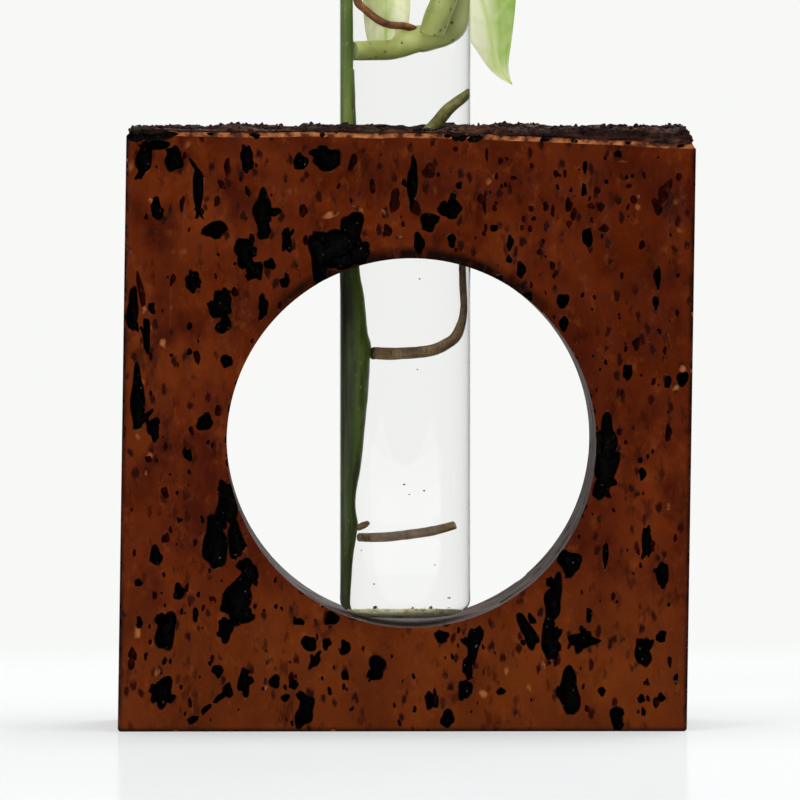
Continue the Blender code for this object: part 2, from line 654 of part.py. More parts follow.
def build():
    clear_scene()
    parts = new_collection("cork_planter")
    cutters = new_collection("cutters")
    green = new_material("stem_green", (0.1, 0.16, 0.035), 0.45)
    pale = new_material("shoot_green", (0.36, 0.42, 0.14), 0.4)
    brown = new_material("root_brown", (0.19, 0.09, 0.04), 0.6)
    olive = new_material("root_olive", (0.2, 0.17, 0.05), 0.55)
    cream = new_material("leaf_cream", (0.62, 0.74, 0.25), 0.4)
    make_block(parts, cutters)
    tube_axis = axis_empty("tube_axis", TUBE_FOOT, parts)
    make_tube(parts, tube_axis)
    cutting_axis = axis_empty("cutting_axis", 0.0, parts, tube_axis)
    make_stem(parts, cutting_axis, green, brown)
    make_roots(parts, cutting_axis, brown, olive)
    make_shoot(parts, cutting_axis, pale, brown, cream)
    make_hanging_leaf(parts, cutting_axis, pale, cream)
    make_top_leaf(parts, cutting_axis, pale, cream)


build()
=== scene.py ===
import math
import random

import bmesh
import bpy
from mathutils import Matrix, Vector, noise


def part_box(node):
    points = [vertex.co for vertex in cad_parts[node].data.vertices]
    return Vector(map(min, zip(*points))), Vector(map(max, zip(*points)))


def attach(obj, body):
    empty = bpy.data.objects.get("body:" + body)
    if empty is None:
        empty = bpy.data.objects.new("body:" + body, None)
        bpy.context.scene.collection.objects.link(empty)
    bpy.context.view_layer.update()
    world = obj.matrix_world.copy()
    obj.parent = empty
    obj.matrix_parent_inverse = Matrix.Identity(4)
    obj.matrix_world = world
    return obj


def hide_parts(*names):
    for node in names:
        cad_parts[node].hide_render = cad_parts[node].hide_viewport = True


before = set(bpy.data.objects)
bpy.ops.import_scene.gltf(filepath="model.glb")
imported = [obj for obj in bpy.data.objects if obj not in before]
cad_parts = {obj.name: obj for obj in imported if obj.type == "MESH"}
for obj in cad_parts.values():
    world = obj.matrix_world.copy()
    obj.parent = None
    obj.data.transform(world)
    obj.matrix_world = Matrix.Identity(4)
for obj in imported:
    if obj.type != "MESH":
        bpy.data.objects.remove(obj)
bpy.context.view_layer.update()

MM = 0.001


# The table and the studio: a glossy white table top that ends a hand's length behind the planter, a
# pale backdrop, and soft boxes overhead, at the front left and behind. The camera looks from about
# the height of the block's top, a little left of it, through a long lens.
eye = Vector((-34.0, -2225.0, 119.0)) * MM
aim = Vector((-1.3, -22.5, 62.8)) * MM
picture_side = 800
pixels_per_mm = 5.286
sensor = 36.0

camera_data = bpy.data.cameras.new("camera")
camera_data.sensor_width = sensor
camera_data.lens = pixels_per_mm * (aim - eye).length / MM * sensor / picture_side
camera_data.clip_start = 0.1
camera_data.clip_end = 20.0
camera = bpy.data.objects.new("camera", camera_data)
camera.location = eye
camera.rotation_euler = (aim - eye).to_track_quat("-Z", "Y").to_euler()
bpy.context.scene.collection.objects.link(camera)
bpy.context.scene.camera = camera
bpy.context.scene.view_settings.view_transform = "Standard"

table_back = 0.345
table_half = 1.6
haze_start = 0.24
backdrop_half = 0.42
backdrop_y = 1.5
backdrop_foot, backdrop_top = -0.6, 1.4
backdrop_colour = (0.938, 0.948, 0.930, 1)


def put(tree, socket, value):
    """Feed an input from a socket or from a node's first output, or set it to a value."""
    if isinstance(value, bpy.types.Node):
        value = value.outputs[0]
    if isinstance(value, bpy.types.NodeSocket):
        tree.links.new(value, socket)
    elif value is not None:
        socket.default_value = value


def node(tree, kind, *sources, **values):
    """A new node: its first inputs take the sources in turn, other inputs and properties go by name."""
    made = tree.nodes.new(kind)
    for name, value in values.items():
        label = name.replace("_", " ")
        if label in made.inputs:
            put(tree, made.inputs[label], value)
        else:
            setattr(made, name, value)
    for target, source in zip(made.inputs, sources):
        put(tree, target, source)
    return made


def mix(tree, share, first, second):
    return node(tree, "ShaderNodeMixShader", share, first, second)


def object_axes(tree):
    """The x, y and z sockets of the object's own coordinates, in metres."""
    where = node(tree, "ShaderNodeTexCoord").outputs["Object"]
    return node(tree, "ShaderNodeSeparateXYZ", where).outputs


def empty_material(name):
    made = bpy.data.materials.new(name)
    made.use_nodes = True
    made.node_tree.nodes.clear()
    return made, made.node_tree


def flat_sheet(name, half, near, far, material):
    """A sheet of the stage between two level edges, each at its (y, z)."""
    mesh = bpy.data.meshes.new(name)
    mesh.from_pydata([(-half, *near), (half, *near), (half, *far), (-half, *far)], [], [(0, 1, 2, 3)])
    mesh.materials.append(material)
    made = bpy.data.objects.new(name, mesh)
    bpy.context.scene.collection.objects.link(made)


table_white, tree = empty_material("table_white")
matte = node(tree, "ShaderNodeBsdfDiffuse", Color=(0.42, 0.43, 0.43, 1))
glow = node(tree, "ShaderNodeEmission", Color=(0.97, 0.985, 0.985, 1), Strength=0.4)
polish = node(tree, "ShaderNodeBsdfGlossy", Color=(1, 0.99, 0.96, 1), Roughness=0.12)
polished = mix(tree, 0.10, node(tree, "ShaderNodeAddShader", matte, glow), polish)
haze = node(tree, "ShaderNodeEmission", Color=(0.925, 0.940, 0.920, 1), Strength=1.0)
far = node(tree, "ShaderNodeMapRange", object_axes(tree)["Y"], haze_start, table_back)
node(tree, "ShaderNodeOutputMaterial", mix(tree, far, polished, haze))
flat_sheet("table_top", table_half, (-table_half, 0), (table_back, 0), table_white)

backdrop_white, tree = empty_material("backdrop_white")
node(tree, "ShaderNodeOutputMaterial", node(tree, "ShaderNodeEmission", Color=backdrop_colour, Strength=1.0))
flat_sheet("backdrop", backdrop_half, (backdrop_y, backdrop_foot), (backdrop_y, backdrop_top), backdrop_white)

world = bpy.data.worlds.new("studio")
bpy.context.scene.world = world
world.use_nodes = True
tree = world.node_tree
tree.nodes.clear()
white = node(tree, "ShaderNodeBackground", Color=backdrop_colour, Strength=1.0)
fill = node(tree, "ShaderNodeBackground", Color=(0.95, 0.97, 1.0, 1), Strength=0.42)
dusk = node(tree, "ShaderNodeBackground", Color=(0.9, 0.94, 1.0, 1), Strength=0.16)
shade = node(tree, "ShaderNodeBackground", Color=(1.0, 0.98, 0.95, 1), Strength=0.03)
way = node(tree, "ShaderNodeSeparateXYZ", node(tree, "ShaderNodeTexCoord").outputs["Generated"]).outputs["Y"]
path = node(tree, "ShaderNodeLightPath").outputs
through = mix(tree, node(tree, "ShaderNodeMapRange", way, 0.0, 0.68), dusk, white)
mirrored = mix(tree, node(tree, "ShaderNodeMapRange", way, 0.90, 0.995), shade, white)
lit = mix(tree, path["Is Glossy Ray"], fill, mirrored)
lit_or_clear = mix(tree, path["Is Transmission Ray"], lit, through)
node(tree, "ShaderNodeOutputWorld", mix(tree, path["Is Camera Ray"], lit_or_clear, white))


def soft_box(name, place, target, width, height, power):
    lamp = bpy.data.lights.new(name, "AREA")
    lamp.shape = "RECTANGLE"
    lamp.size, lamp.size_y = width, height
    lamp.energy = power
    made = bpy.data.objects.new(name, lamp)
    made.location = place
    made.rotation_euler = (Vector(target) - Vector(place)).to_track_quat("-Z", "Y").to_euler()
    made.visible_transmission = False
    bpy.context.scene.collection.objects.link(made)


soft_box("overhead_box", (0.1, 0.05, 1.0), (0, 0, 0.05), 0.9, 0.7, 9.0)
soft_box("front_box", (-0.7, -1.1, 0.55), (0, 0, 0.05), 0.5, 0.5, 7.4)
soft_box("back_box", (0.5, 1.1, 0.8), (0, 0, 0.07), 0.6, 0.5, 5.0)


# The cork block: one piece of cork oak bark, sawn flat on five sides and bored through with a 70 mm
# hole saw, then varnished. Pores and woody pockets open in every sawn face as dark pits, and the
# saw has chipped the arrises.
block_low, block_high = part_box("cork_block")
front_y, back_y = block_low.y, block_high.y
window_radius = 35.0 * MM
window_x, window_z = 0.9 * MM, 54.6 * MM
block_width = 107.8 * MM
sawn_top = 112.0 * MM
lean = 1.7 * MM
arris = 0.6 * MM
raw_edge = 1.1 * MM
bore_radius = 12.8 * MM
window_sides, bore_sides = 192, 96
shallow_pit = 0.45 * MM
branched_pore = 3.9
sanded_slot = 2
DARK, RAW, RIM, RED = 0, 1, 2, 3

# Pores, shallow pores and scars on the front face, in millimetres from the window's middle: (x, z,
# width, height), and for a tilted one its angle in degrees.
front_pores_mm = [
    (-50.6, 53.4, 2.7, 6.6, 12), (-48.4, 56.4, 6.0, 1.8), (-44.9, 53.7, 3.2, 5.2), (-40.4, 47.6, 1.8, 9.4),
    (-48.2, 44.3, 2.3, 4.2, -8), (-37.2, 40.4, 4.7, 3.4), (-28.3, 44.5, 3.4, 6.4, 6), (-25.9, 43.8, 2.6, 1.7),
    (-28.0, 40.8, 2.3, 5.0), (-31.7, 36.2, 3.8, 5.7), (-29.7, 32.8, 3.0, 4.2, -24), (-23.6, 38.3, 1.9, 4.7),
    (-21.0, 53.2, 2.8, 3.4), (-16.0, 53.8, 4.9, 5.3), (-31.2, 53.8, 2.3, 5.2), (-11.3, 40.7, 4.5, 6.4),
    (-14.5, 37.2, 6.8, 6.8), (-17.4, 35.0, 4.4, 8.6), (-10.2, 36.0, 4.2, 5.4), (-41.4, 30.5, 2.3, 4.2),
    (-36.1, 26.2, 4.2, 5.6), (-35.5, 22.4, 2.7, 3.8, 12), (-26.8, 33.9, 2.2, 2.2), (-24.0, 30.5, 1.9, 2.3),
    (-28.1, 25.6, 1.9, 4.2), (-50.1, 20.5, 1.5, 6.6), (-52.7, 25.6, 2.3, 7.5), (-35.0, 15.6, 2.3, 2.6),
    (-42.0, 22.2, 1.1, 1.5), (-42.0, 17.3, 1.1, 1.3), (-51.8, 8.2, 3.0, 11.0), (-48.8, 2.7, 2.3, 4.2),
    (-39.1, 4.0, 3.0, 3.4), (-42.3, -2.2, 1.7, 2.4), (-34.8, -11.7, 4.9, 7.6, 8), (-37.2, -19.2, 5.0, 9.4),
    (-33.4, -18.3, 3.0, 7.6, -6), (-31.0, -24.9, 3.8, 5.7, 20), (-32.9, -29.6, 5.3, 9.4, 15),
    (-35.1, -35.3, 2.7, 4.5, 22), (-46.5, -35.7, 4.2, 6.8, 8), (-47.1, -47.0, 3.8, 5.7), (-44.0, -28.1, 2.3, 3.0),
    (-48.4, -21.3, 2.3, 3.8), (-19.4, -37.9, 3.0, 3.0), (-12.6, -38.7, 1.9, 3.0), (-6.6, -42.5, 3.4, 4.7),
    (-36.7, -43.1, 2.3, 2.3), (-31.7, -45.3, 2.3, 5.3), (-34.8, -46.8, 1.9, 3.0), (-20.2, -50.8, 3.4, 6.4, 10),
    (-25.9, -45.1, 1.9, 3.0), (-22.3, -45.7, 1.7, 1.9), (-36.4, -48.2, 2.6, 1.3, -35),
    (-38.9, -50.3, 2.8, 1.1, -40), (-15.1, -33.2, 3.0, 2.6), (37.1, 0.6, 3.4, 9.4), (36.7, -5.0, 4.2, 8.7, 8),
    (35.4, -9.0, 2.3, 4.0), (44.5, -18.7, 1.9, 5.3), (47.5, -24.7, 2.3, 4.7), (36.7, -21.3, 1.1, 4.7),
    (43.7, -5.8, 1.5, 2.3), (29.9, -22.6, 4.2, 5.3), (26.9, -29.6, 3.4, 8.5, 6), (26.1, -37.2, 3.2, 8.3),
    (22.0, -35.7, 2.8, 6.6, -26), (32.4, -37.4, 5.3, 3.2), (32.4, -37.4, 2.2, 5.0, 20), (11.8, -38.1, 2.6, 7.5, 8),
    (10.6, -42.5, 1.7, 4.5), (10.1, -46.7, 2.6, 4.2), (5.7, -36.6, 2.6, 2.6), (3.4, -48.7, 1.9, 3.4),
    (6.8, -52.1, 2.5, 3.6), (29.9, -47.0, 3.8, 9.4), (38.8, -52.1, 2.6, 4.2), (43.9, -39.8, 3.0, 5.3),
    (47.3, -36.6, 1.9, 2.3), (36.0, -47.0, 1.5, 1.7), (43.5, -48.4, 1.3, 1.7), (47.3, -48.2, 1.5, 1.7),
    (16.9, -47.0, 1.7, 1.5), (0.2, 49.5, 1.9, 9.4), (-13.4, 34.6, 6.4, 3.8, -12), (7.4, 44.3, 3.8, 4.2),
    (3.3, 41.9, 3.4, 3.8), (1.4, 37.9, 2.2, 3.8), (15.6, 40.7, 1.5, 1.5), (20.7, 32.8, 1.7, 3.4),
    (22.0, 27.9, 1.8, 1.8), (28.6, 26.9, 2.3, 3.0), (28.8, 22.6, 1.9, 3.0), (33.3, 38.9, 2.3, 3.4),
    (40.9, 13.5, 1.9, 3.0), (46.6, 31.3, 1.1, 4.7), (46.2, 26.6, 1.1, 2.8), (32.6, 47.9, 1.0, 2.6),
    (32.8, 52.3, 1.0, 2.3), (39.0, 54.7, 1.5, 1.5), (-41.4, -52.3, 2.4, 1.5, -30), (51.3, 12.2, 2.3, 2.8),
    (-40.9, -32.4, 1.2, 2.6), (-23.9, -48.2, 1.8, 1.6), (-16.1, -37.9, 1.7, 2.2), (-18.3, -41.2, 1.3, 4.2, 35),
    (-12.6, -43.9, 1.5, 2.0), (-21.2, -33.8, 2.0, 1.5), (-51.7, -26.4, 1.5, 1.5), (-51.5, -33.9, 1.2, 2.2),
    (7.6, 38.4, 1.8, 2.6), (16.6, 31.2, 1.6, 1.5), (9.0, 48.8, 1.2, 1.5),
]
faint_pores_mm = [
    (47.9, 47.6, 1.9, 4.6, 20), (46.4, 44.8, 1.6, 3.0, -20), (3.3, 51.5, 2.4, 2.8), (8.3, 55.7, 1.0, 0.9),
    (14.2, 54.6, 0.5, 2.4), (16.8, 53.4, 0.9, 1.4), (22.7, 52.5, 0.9, 0.9), (19.3, 50.2, 1.2, 0.8),
    (27.3, 51.0, 0.9, 1.5), (29.0, 51.0, 0.7, 1.5), (35.1, 47.9, 1.1, 1.5), (41.1, 48.7, 1.0, 0.9),
    (42.0, 46.1, 1.3, 1.5), (50.6, 50.4, 1.1, 1.5), (34.0, 44.9, 1.4, 1.1), (35.8, 44.7, 1.4, 1.6),
    (22.6, 44.4, 1.1, 1.1), (26.7, 44.0, 0.7, 2.2), (23.1, 42.5, 1.0, 0.9), (21.2, 42.4, 0.8, 1.2),
    (22.4, 40.6, 1.0, 1.2), (20.9, 40.8, 0.8, 1.0), (13.8, 45.2, 0.6, 3.6), (29.8, 41.5, 1.0, 1.4),
    (-53.0, -41.6, 1.2, 2.6), (-43.4, 45.3, 0.9, 2.7, 6), (-36.8, 45.8, 1.1, 1.8, 20), (-34.9, 52.3, 0.9, 3.8),
    (-51.2, 29.0, 1.2, 5.8, -12), (9.4, 30.6, 1.4, 1.3), (24.2, 36.2, 1.0, 1.2), (26.6, 33.6, 1.1, 1.6),
    (17.5, 24.9, 1.5, 1.3), (13.2, 46.2, 1.6, 1.8), (36.4, 40.6, 1.8, 1.6), (-3.2, 45.9, 1.9, 4.4, 10),
    (-4.6, 40.2, 1.6, 2.4), (-7.4, 48.6, 1.1, 2.6), (0.8, 44.4, 1.7, 3.0, -15),
]
pale_scars_mm = [
    (-27.2, -41.0, 0.9, 2.0), (-27.6, -45.4, 0.7, 2.2), (-48.9, 45.7, 1.6, 1.2, 20), (-15.4, 43.2, 3.6, 1.2, -15),
    (-10.0, 44.3, 2.4, 1.0, 25), (42.8, 46.7, 0.7, 0.7), (40.0, 53.3, 1.8, 0.4), (25.0, -42.0, 0.8, 1.6),
    (-5.5, 43.8, 1.4, 0.8, 30), (-2.4, 38.9, 1.3, 0.7), (48.6, -12.0, 0.6, 1.2), (-47.9, -36.6, 0.6, 1.0),
]


def add_object(name, mesh):
    made = bpy.data.objects.new(name, mesh)
    bpy.context.scene.collection.objects.link(made)
    return made


def mesh_from(bm, name):
    mesh = bpy.data.meshes.new(name)
    bm.to_mesh(mesh)
    bm.free()
    return mesh


def block_side(z):
    """How far the block's faces lean to the right at this height."""
    return lean * (z / sawn_top - 0.5)


def sawn_height(x):
    """The top edge of the sawn faces: level on the left, and falling from the middle to the right."""
    left_height, left_fall, right_fall, wave_height, wave_length = 113.9, 0.4, 2.1, 0.25, 7
    fall = left_fall * min(1.0, (x / MM + 54) / 40) + right_fall * max(0.0, x / MM - 6) / 48
    wave = wave_height * noise.noise(Vector((x / (wave_length * MM), 0.4, 0.9)))
    return (left_height - fall + wave) * MM


def add_pore(bm, place, inward, upward, width, height, tilt, depth, kind, rng):
    """One pit: rings of an uneven outline, from just outside the face, over a worn rim, to its floor."""
    across = upward.cross(inward)
    turn = Matrix.Rotation(math.radians(tilt), 3, inward)
    across, upward = turn @ across, turn @ upward
    points = 30 if height > 4 * MM else 16 if height > 1.6 * MM else 8
    swings = ((2, 0.15), (3, 0.17), (4, 0.10), (5, 0.08), (7, 0.05))
    waves = [(k, rng.uniform(0, 2 * math.pi), rng.uniform(0.3, 1.0) * swing) for k, swing in swings]
    wear_and_edge_shade = 1.0 + min(0.10, 0.12 * MM / width)
    levels = ((-0.25, wear_and_edge_shade + 0.02), (0.0, wear_and_edge_shade), (0.10, 0.97), (0.40, 0.92), (0.78, 0.72), (0.97, 0.38))
    rings = []
    for level, share in levels:
        ring = []
        for i in range(points):
            angle = 2 * math.pi * i / points
            reach = share * (1 + sum(a * math.cos(k * angle + p) for k, p, a in waves))
            jitter = 1 + 0.09 * rng.uniform(-1, 1) * (level > 0.2)
            spot = place + across * (0.5 * width * reach * jitter * math.cos(angle))
            spot += upward * (0.5 * height * reach * jitter * math.sin(angle)) + inward * (level * depth)
            ring.append(bm.verts.new(spot))
        rings.append(ring)
    for row, (upper, lower) in enumerate(zip(rings, rings[1:])):
        for i in range(points):
            j = (i + 1) % points
            side = bm.faces.new((upper[i], upper[j], lower[j], lower[i]))
            side.material_index = RIM if row == 1 and kind == DARK else kind
    for ring in (list(reversed(rings[0])), rings[-1]):
        bm.faces.new(ring).material_index = kind


def pit_cutters(pits, rng):
    """Cutter meshes for all pits. No two pits in one mesh touch, so each mesh is a clean solid."""
    groups = []
    for pit in pits:
        place, inward, upward, width, height, tilt, depth, kind = pit
        middle = place + inward * (0.35 * depth)
        room = 0.62 * max(width, height, depth) + 0.15 * MM
        for group in groups:
            if all((middle - other).length > room + other_room for other, other_room, _ in group):
                group.append((middle, room, pit))
                break
        else:
            groups.append([(middle, room, pit)])
    cutters = []
    for group in groups:
        bm = bmesh.new()
        for _, _, (place, inward, upward, width, height, tilt, depth, kind) in group:
            add_pore(bm, place, inward, upward, width, height, tilt, depth, kind, rng)
        bmesh.ops.recalc_face_normals(bm, faces=bm.faces)
        cutters.append(mesh_from(bm, "pits"))
    return cutters


up = Vector((0, 0, 1))
to_back, to_front = Vector((0, 1, 0)), Vector((0, -1, 0))
rng = random.Random(5)
pits = []
for places, kind in ((front_pores_mm, DARK), (faint_pores_mm, RED), (pale_scars_mm, RAW)):
    for x, z, width, height, *tilt in places:
        place = Vector((window_x + x * MM, front_y, window_z + z * MM))
        depth = min(3.6, 1.2 + 0.5 * width) * MM if kind == DARK else shallow_pit
        pits.append((place, to_back, up, width * MM, height * MM, sum(tilt), depth, kind))
        for _ in range(rng.choice((1, 2, 3)) if kind == DARK and height > branched_pore else 0):
            angle, share = rng.uniform(0, 2 * math.pi), rng.uniform(0.30, 0.55)
            branch = place + Vector((0.45 * width * math.cos(angle), 0, 0.45 * height * math.sin(angle))) * MM
            size = width * share * MM, height * share * rng.uniform(0.6, 1.0) * MM
            pits.append((branch, to_back, up, *size, rng.uniform(-50, 50), 0.7 * depth, DARK))


# Gaps where bark broke out of the front's top edge: (x, width, height) in millimetres.
edge_gaps_mm = [
    (-48.6, 9.0, 3.4), (-52.0, 3.0, 4.0), (-38.0, 1.5, 1.0), (-29.5, 2.2, 1.9), (-16.8, 1.2, 1.6), (6.8, 1.6, 1.4),
    (9.0, 4.0, 2.2), (12.0, 3.6, 2.4), (25.2, 2.2, 1.5), (30.8, 1.6, 1.4), (41.0, 1.4, 1.0), (51.0, 1.6, 1.2),
]
for x, width, height in edge_gaps_mm:
    place = Vector((x * MM + 0.5 * lean, front_y, sawn_height(x * MM) - 0.2 * height * MM))
    slope = Vector((0, 1, -0.7)).normalized()
    pits.append((place, slope, Vector((0, 0.7, 1)).normalized(), width * MM, height * MM, 0, 1.2 * MM, DARK))


def chance_size(low, high, longest):
    width = rng.uniform(low, high) * MM
    return width, width * rng.uniform(1.0, longest)


def on_face(y, inward, count, low, high, longest):
    """Chance pits on the front or back face, outside the window.

    Their widths lie from low to high in millimetres, and they are up to longest times as high.
    """
    for _ in range(count):
        x, z = rng.uniform(-52, 52) * MM, rng.uniform(1.5, 110) * MM
        width, height = chance_size(low, high, longest)
        if math.hypot(x - window_x, z - window_z) > window_radius + 0.8 * MM:
            place = Vector((x + block_side(z), y, z))
            kind = RED if rng.random() < 0.55 else DARK
            pits.append((place, inward, up, width, height, rng.uniform(-20, 20), 0.7 * width, kind))


on_face(front_y, to_back, 420, 0.3, 0.8, 2.4)
on_face(front_y, to_back, 75, 0.7, 1.4, 2.6)
on_face(back_y, to_front, 190, 0.35, 1.0, 2.4)
on_face(back_y, to_front, 95, 1.2, 4.4, 2.4)
for side in (-1, 1):
    for _ in range(110):
        y, z = rng.uniform(-20.5, 20.5) * MM, rng.uniform(2, 108) * MM
        width, height = chance_size(0.4, 3.4 if rng.random() < 0.35 else 1.1, 2.6)
        place = Vector((side * block_width / 2 + block_side(z), y, z))
        pits.append((place, Vector((-side, 0, 0)), up, width, height, rng.uniform(-15, 15), 0.6 * width, DARK))


def window_spot(y, angle):
    """A point on the window's wall, and the way out into the cork there."""
    outward = Vector((math.cos(angle), 0, math.sin(angle)))
    return Vector((window_x, y, window_z)) + outward * window_radius, outward


for _ in range(60):
    angle, y = rng.uniform(0, 2 * math.pi), rng.uniform(-19, 19) * MM
    place, outward = window_spot(y, angle)
    width, height = chance_size(0.5, 3.0, 1.8)
    pits.append((place, outward, to_back, width, height, rng.uniform(0, 90), 0.6 * width, DARK))


def chipped_edges():
    """Small chips that the saw broke out along the outer edges and the window's rims."""
    spots = []
    faces = ((front_y, 1), (back_y, -1))
    for side in (-1, 1):
        for y, face in faces:
            for _ in range(70):
                z = rng.uniform(0.5, 110) * MM
                corner = Vector((side * block_width / 2 + block_side(z), y, z))
                spots.append((corner, Vector((-side, face, 0)), up, 2.2))
    for y, face in faces:
        for _ in range(45):
            foot = Vector((rng.uniform(-0.5, 0.5) * block_width, y, 0.0))
            spots.append((foot, Vector((0, face, 1)), Vector((1, 0, 0)), 1.8))
            rim, outward = window_spot(y, rng.uniform(0, 2 * math.pi))
            spots.append((rim, outward + Vector((0, face, 0)), to_back.cross(outward), 1.8))
    for place, inward, upward, stretch in spots:
        size = rng.uniform(0.3, 0.9) * MM
        height = size * rng.uniform(1, stretch)
        kind = rng.choice((DARK, RED, RED, DARK, RED, RED, DARK, RED, DARK, RED, RAW))
        pits.append((place, inward.normalized(), upward, size, height, 0, 0.35 * size + 0.15 * MM, kind))


def block_blank():
    """The sawn block before its holes: rounded arrises, and a wider sanded edge along the top."""
    bm = bmesh.new()
    bmesh.ops.create_cube(bm, size=1.0)
    for v in bm.verts:
        z = (v.co.z + 0.5) * sawn_top
        v.co = Vector((v.co.x * block_width, v.co.y * (back_y - front_y), z))
    uprights = [e for e in bm.edges if abs(e.verts[0].co.z - e.verts[1].co.z) > sawn_top / 2]
    foot = [e for e in bm.edges if all(v.co.z < MM for v in e.verts)]
    bmesh.ops.bevel(bm, geom=uprights + foot, offset=arris, segments=3, profile=0.5, affect="EDGES")
    crown = [e for e in bm.edges if all(v.co.z > sawn_top - MM for v in e.verts)]
    sanded = bmesh.ops.bevel(bm, geom=crown, offset=raw_edge, segments=1, affect="EDGES")["faces"]
    for f in sanded:
        f.material_index = sanded_slot
    for i in range(1, 36):
        seam = Vector((block_width * (i / 36 - 0.5), 0, 0))
        everything = list(bm.verts) + list(bm.edges) + list(bm.faces)
        bmesh.ops.bisect_plane(bm, geom=everything, dist=1e-7, plane_co=seam, plane_no=(1, 0, 0))
    for v in bm.verts:
        if v.co.z > sawn_top - 2 * raw_edge:
            v.co.z += sawn_height(v.co.x) - sawn_top
        v.co.x += block_side(v.co.z)
    return mesh_from(bm, "cork_block_body")


def cylinder_mesh(radius, length, sides, matrix):
    bm = bmesh.new()
    bmesh.ops.create_cone(
        bm, cap_ends=True, segments=sides, radius1=radius, radius2=radius, depth=length, matrix=matrix
    )
    return mesh_from(bm, "cylinder")


def subtract(target, cutters):
    """Cut every cutter out of the target, keep the result as its mesh, and remove the cutters."""
    tools = []
    for mesh in cutters:
        tool = add_object("tool", mesh)
        modifier = target.modifiers.new("cut", "BOOLEAN")
        modifier.operation, modifier.solver, modifier.object = "DIFFERENCE", "MANIFOLD", tool
        modifier.material_mode = "TRANSFER"
        tools.append(tool)
    graph = bpy.context.evaluated_depsgraph_get()
    made = bpy.data.meshes.new_from_object(target.evaluated_get(graph))
    target.modifiers.clear()
    target.data = made
    for tool in tools:
        bpy.data.objects.remove(tool)


def object_place(tree, stretch=(1, 1, 1), shift=(0, 0, 0)):
    where = node(tree, "ShaderNodeTexCoord").outputs["Object"]
    return node(tree, "ShaderNodeMapping", where, Location=shift, Scale=stretch)


def object_noise(tree, scale, detail=4.0, rough=0.55, stretch=(1, 1, 1), shift=(0, 0, 0)):
    """A noise pattern in the object's own metres, at so many lumps per metre."""
    place = object_place(tree, stretch, shift)
    return node(tree, "ShaderNodeTexNoise", place, Scale=scale, Detail=detail, Roughness=rough)


def object_cells(tree, scale, stretch=(1, 1, 1)):
    return node(tree, "ShaderNodeTexVoronoi", object_place(tree, stretch), Scale=scale)


def uneven_cells(tree, scale, stretch, shake):
    """Cells whose outlines are shaken by a fine noise, so that no spot is a plain oval."""
    place = object_place(tree, stretch)
    rough = node(tree, "ShaderNodeTexNoise", place, Scale=scale * 1.7, Detail=3.0).outputs["Color"]
    centred = node(tree, "ShaderNodeVectorMath", rough, (0.5, 0.5, 0.5), operation="SUBTRACT")
    pushed = node(tree, "ShaderNodeVectorMath", centred, (shake, shake, shake), place, operation="MULTIPLY_ADD")
    return node(tree, "ShaderNodeTexVoronoi", pushed, Scale=scale)


def spread(tree, source, low, high, to_low=0.0, to_high=1.0):
    """Stretch the pattern's range from low..high to new limits."""
    return node(tree, "ShaderNodeMapRange", source, low, high, to_low, to_high)


def calc(tree, operation, *values):
    return node(tree, "ShaderNodeMath", *values, operation=operation)


def masked(tree, pattern, *masks):
    for mask in masks:
        pattern = calc(tree, "MULTIPLY", pattern, mask)
    return pattern


def ramp(tree, source, stops):
    """Colours at places from 0 to 1 along a pattern."""
    made = node(tree, "ShaderNodeValToRGB", source)
    band = made.color_ramp
    while len(band.elements) < len(stops):
        band.elements.new(0.5)
    for element, (place, colour) in zip(band.elements, stops):
        element.position = place
        element.color = (*colour, 1)
    return made


def coated(tree, colour, *coats):
    """A colour under coats of others: each coat is (where it shows, its colour)."""
    for share, tint in coats:
        mixer = node(tree, "ShaderNodeMix", share, data_type="RGBA")
        for target, value in zip(mixer.inputs[6:8], (colour, tint)):
            put(tree, target, (*value, 1) if isinstance(value, tuple) else value)
        colour = mixer.outputs[2]
    return colour


def surface(name, **values):
    """A material with one Principled shader whose uniform values are set on its sockets."""
    made, tree = empty_material(name)
    shader = node(tree, "ShaderNodeBsdfPrincipled", **values)
    node(tree, "ShaderNodeOutputMaterial", shader)
    return made, tree, shader


def dress(tree, shader, colour, heights):
    """Give the shader its colour, and bumps one after another: (pattern, strength, depth in metres)."""
    put(tree, shader.inputs["Base Color"], colour)
    normal = None
    for source, strength, depth in heights:
        normal = node(tree, "ShaderNodeBump", Strength=strength, Distance=depth, Height=source, Normal=normal)
    put(tree, shader.inputs["Normal"], normal)


def noise_skin(name, pattern, stops, bump=None, coats=(), **values):
    """A material coloured along a noise, with coats from other patterns and one noise as its relief."""
    made, tree, shader = surface(name, **values)
    colour = ramp(tree, object_noise(tree, *pattern), stops)
    for source, settings, limits, tint in coats:
        colour = coated(tree, colour, (spread(tree, source(tree, *settings), *limits), tint))
    dress(tree, shader, colour, [(object_noise(tree, *bump[0]), *bump[1:])] if bump else [])
    return made


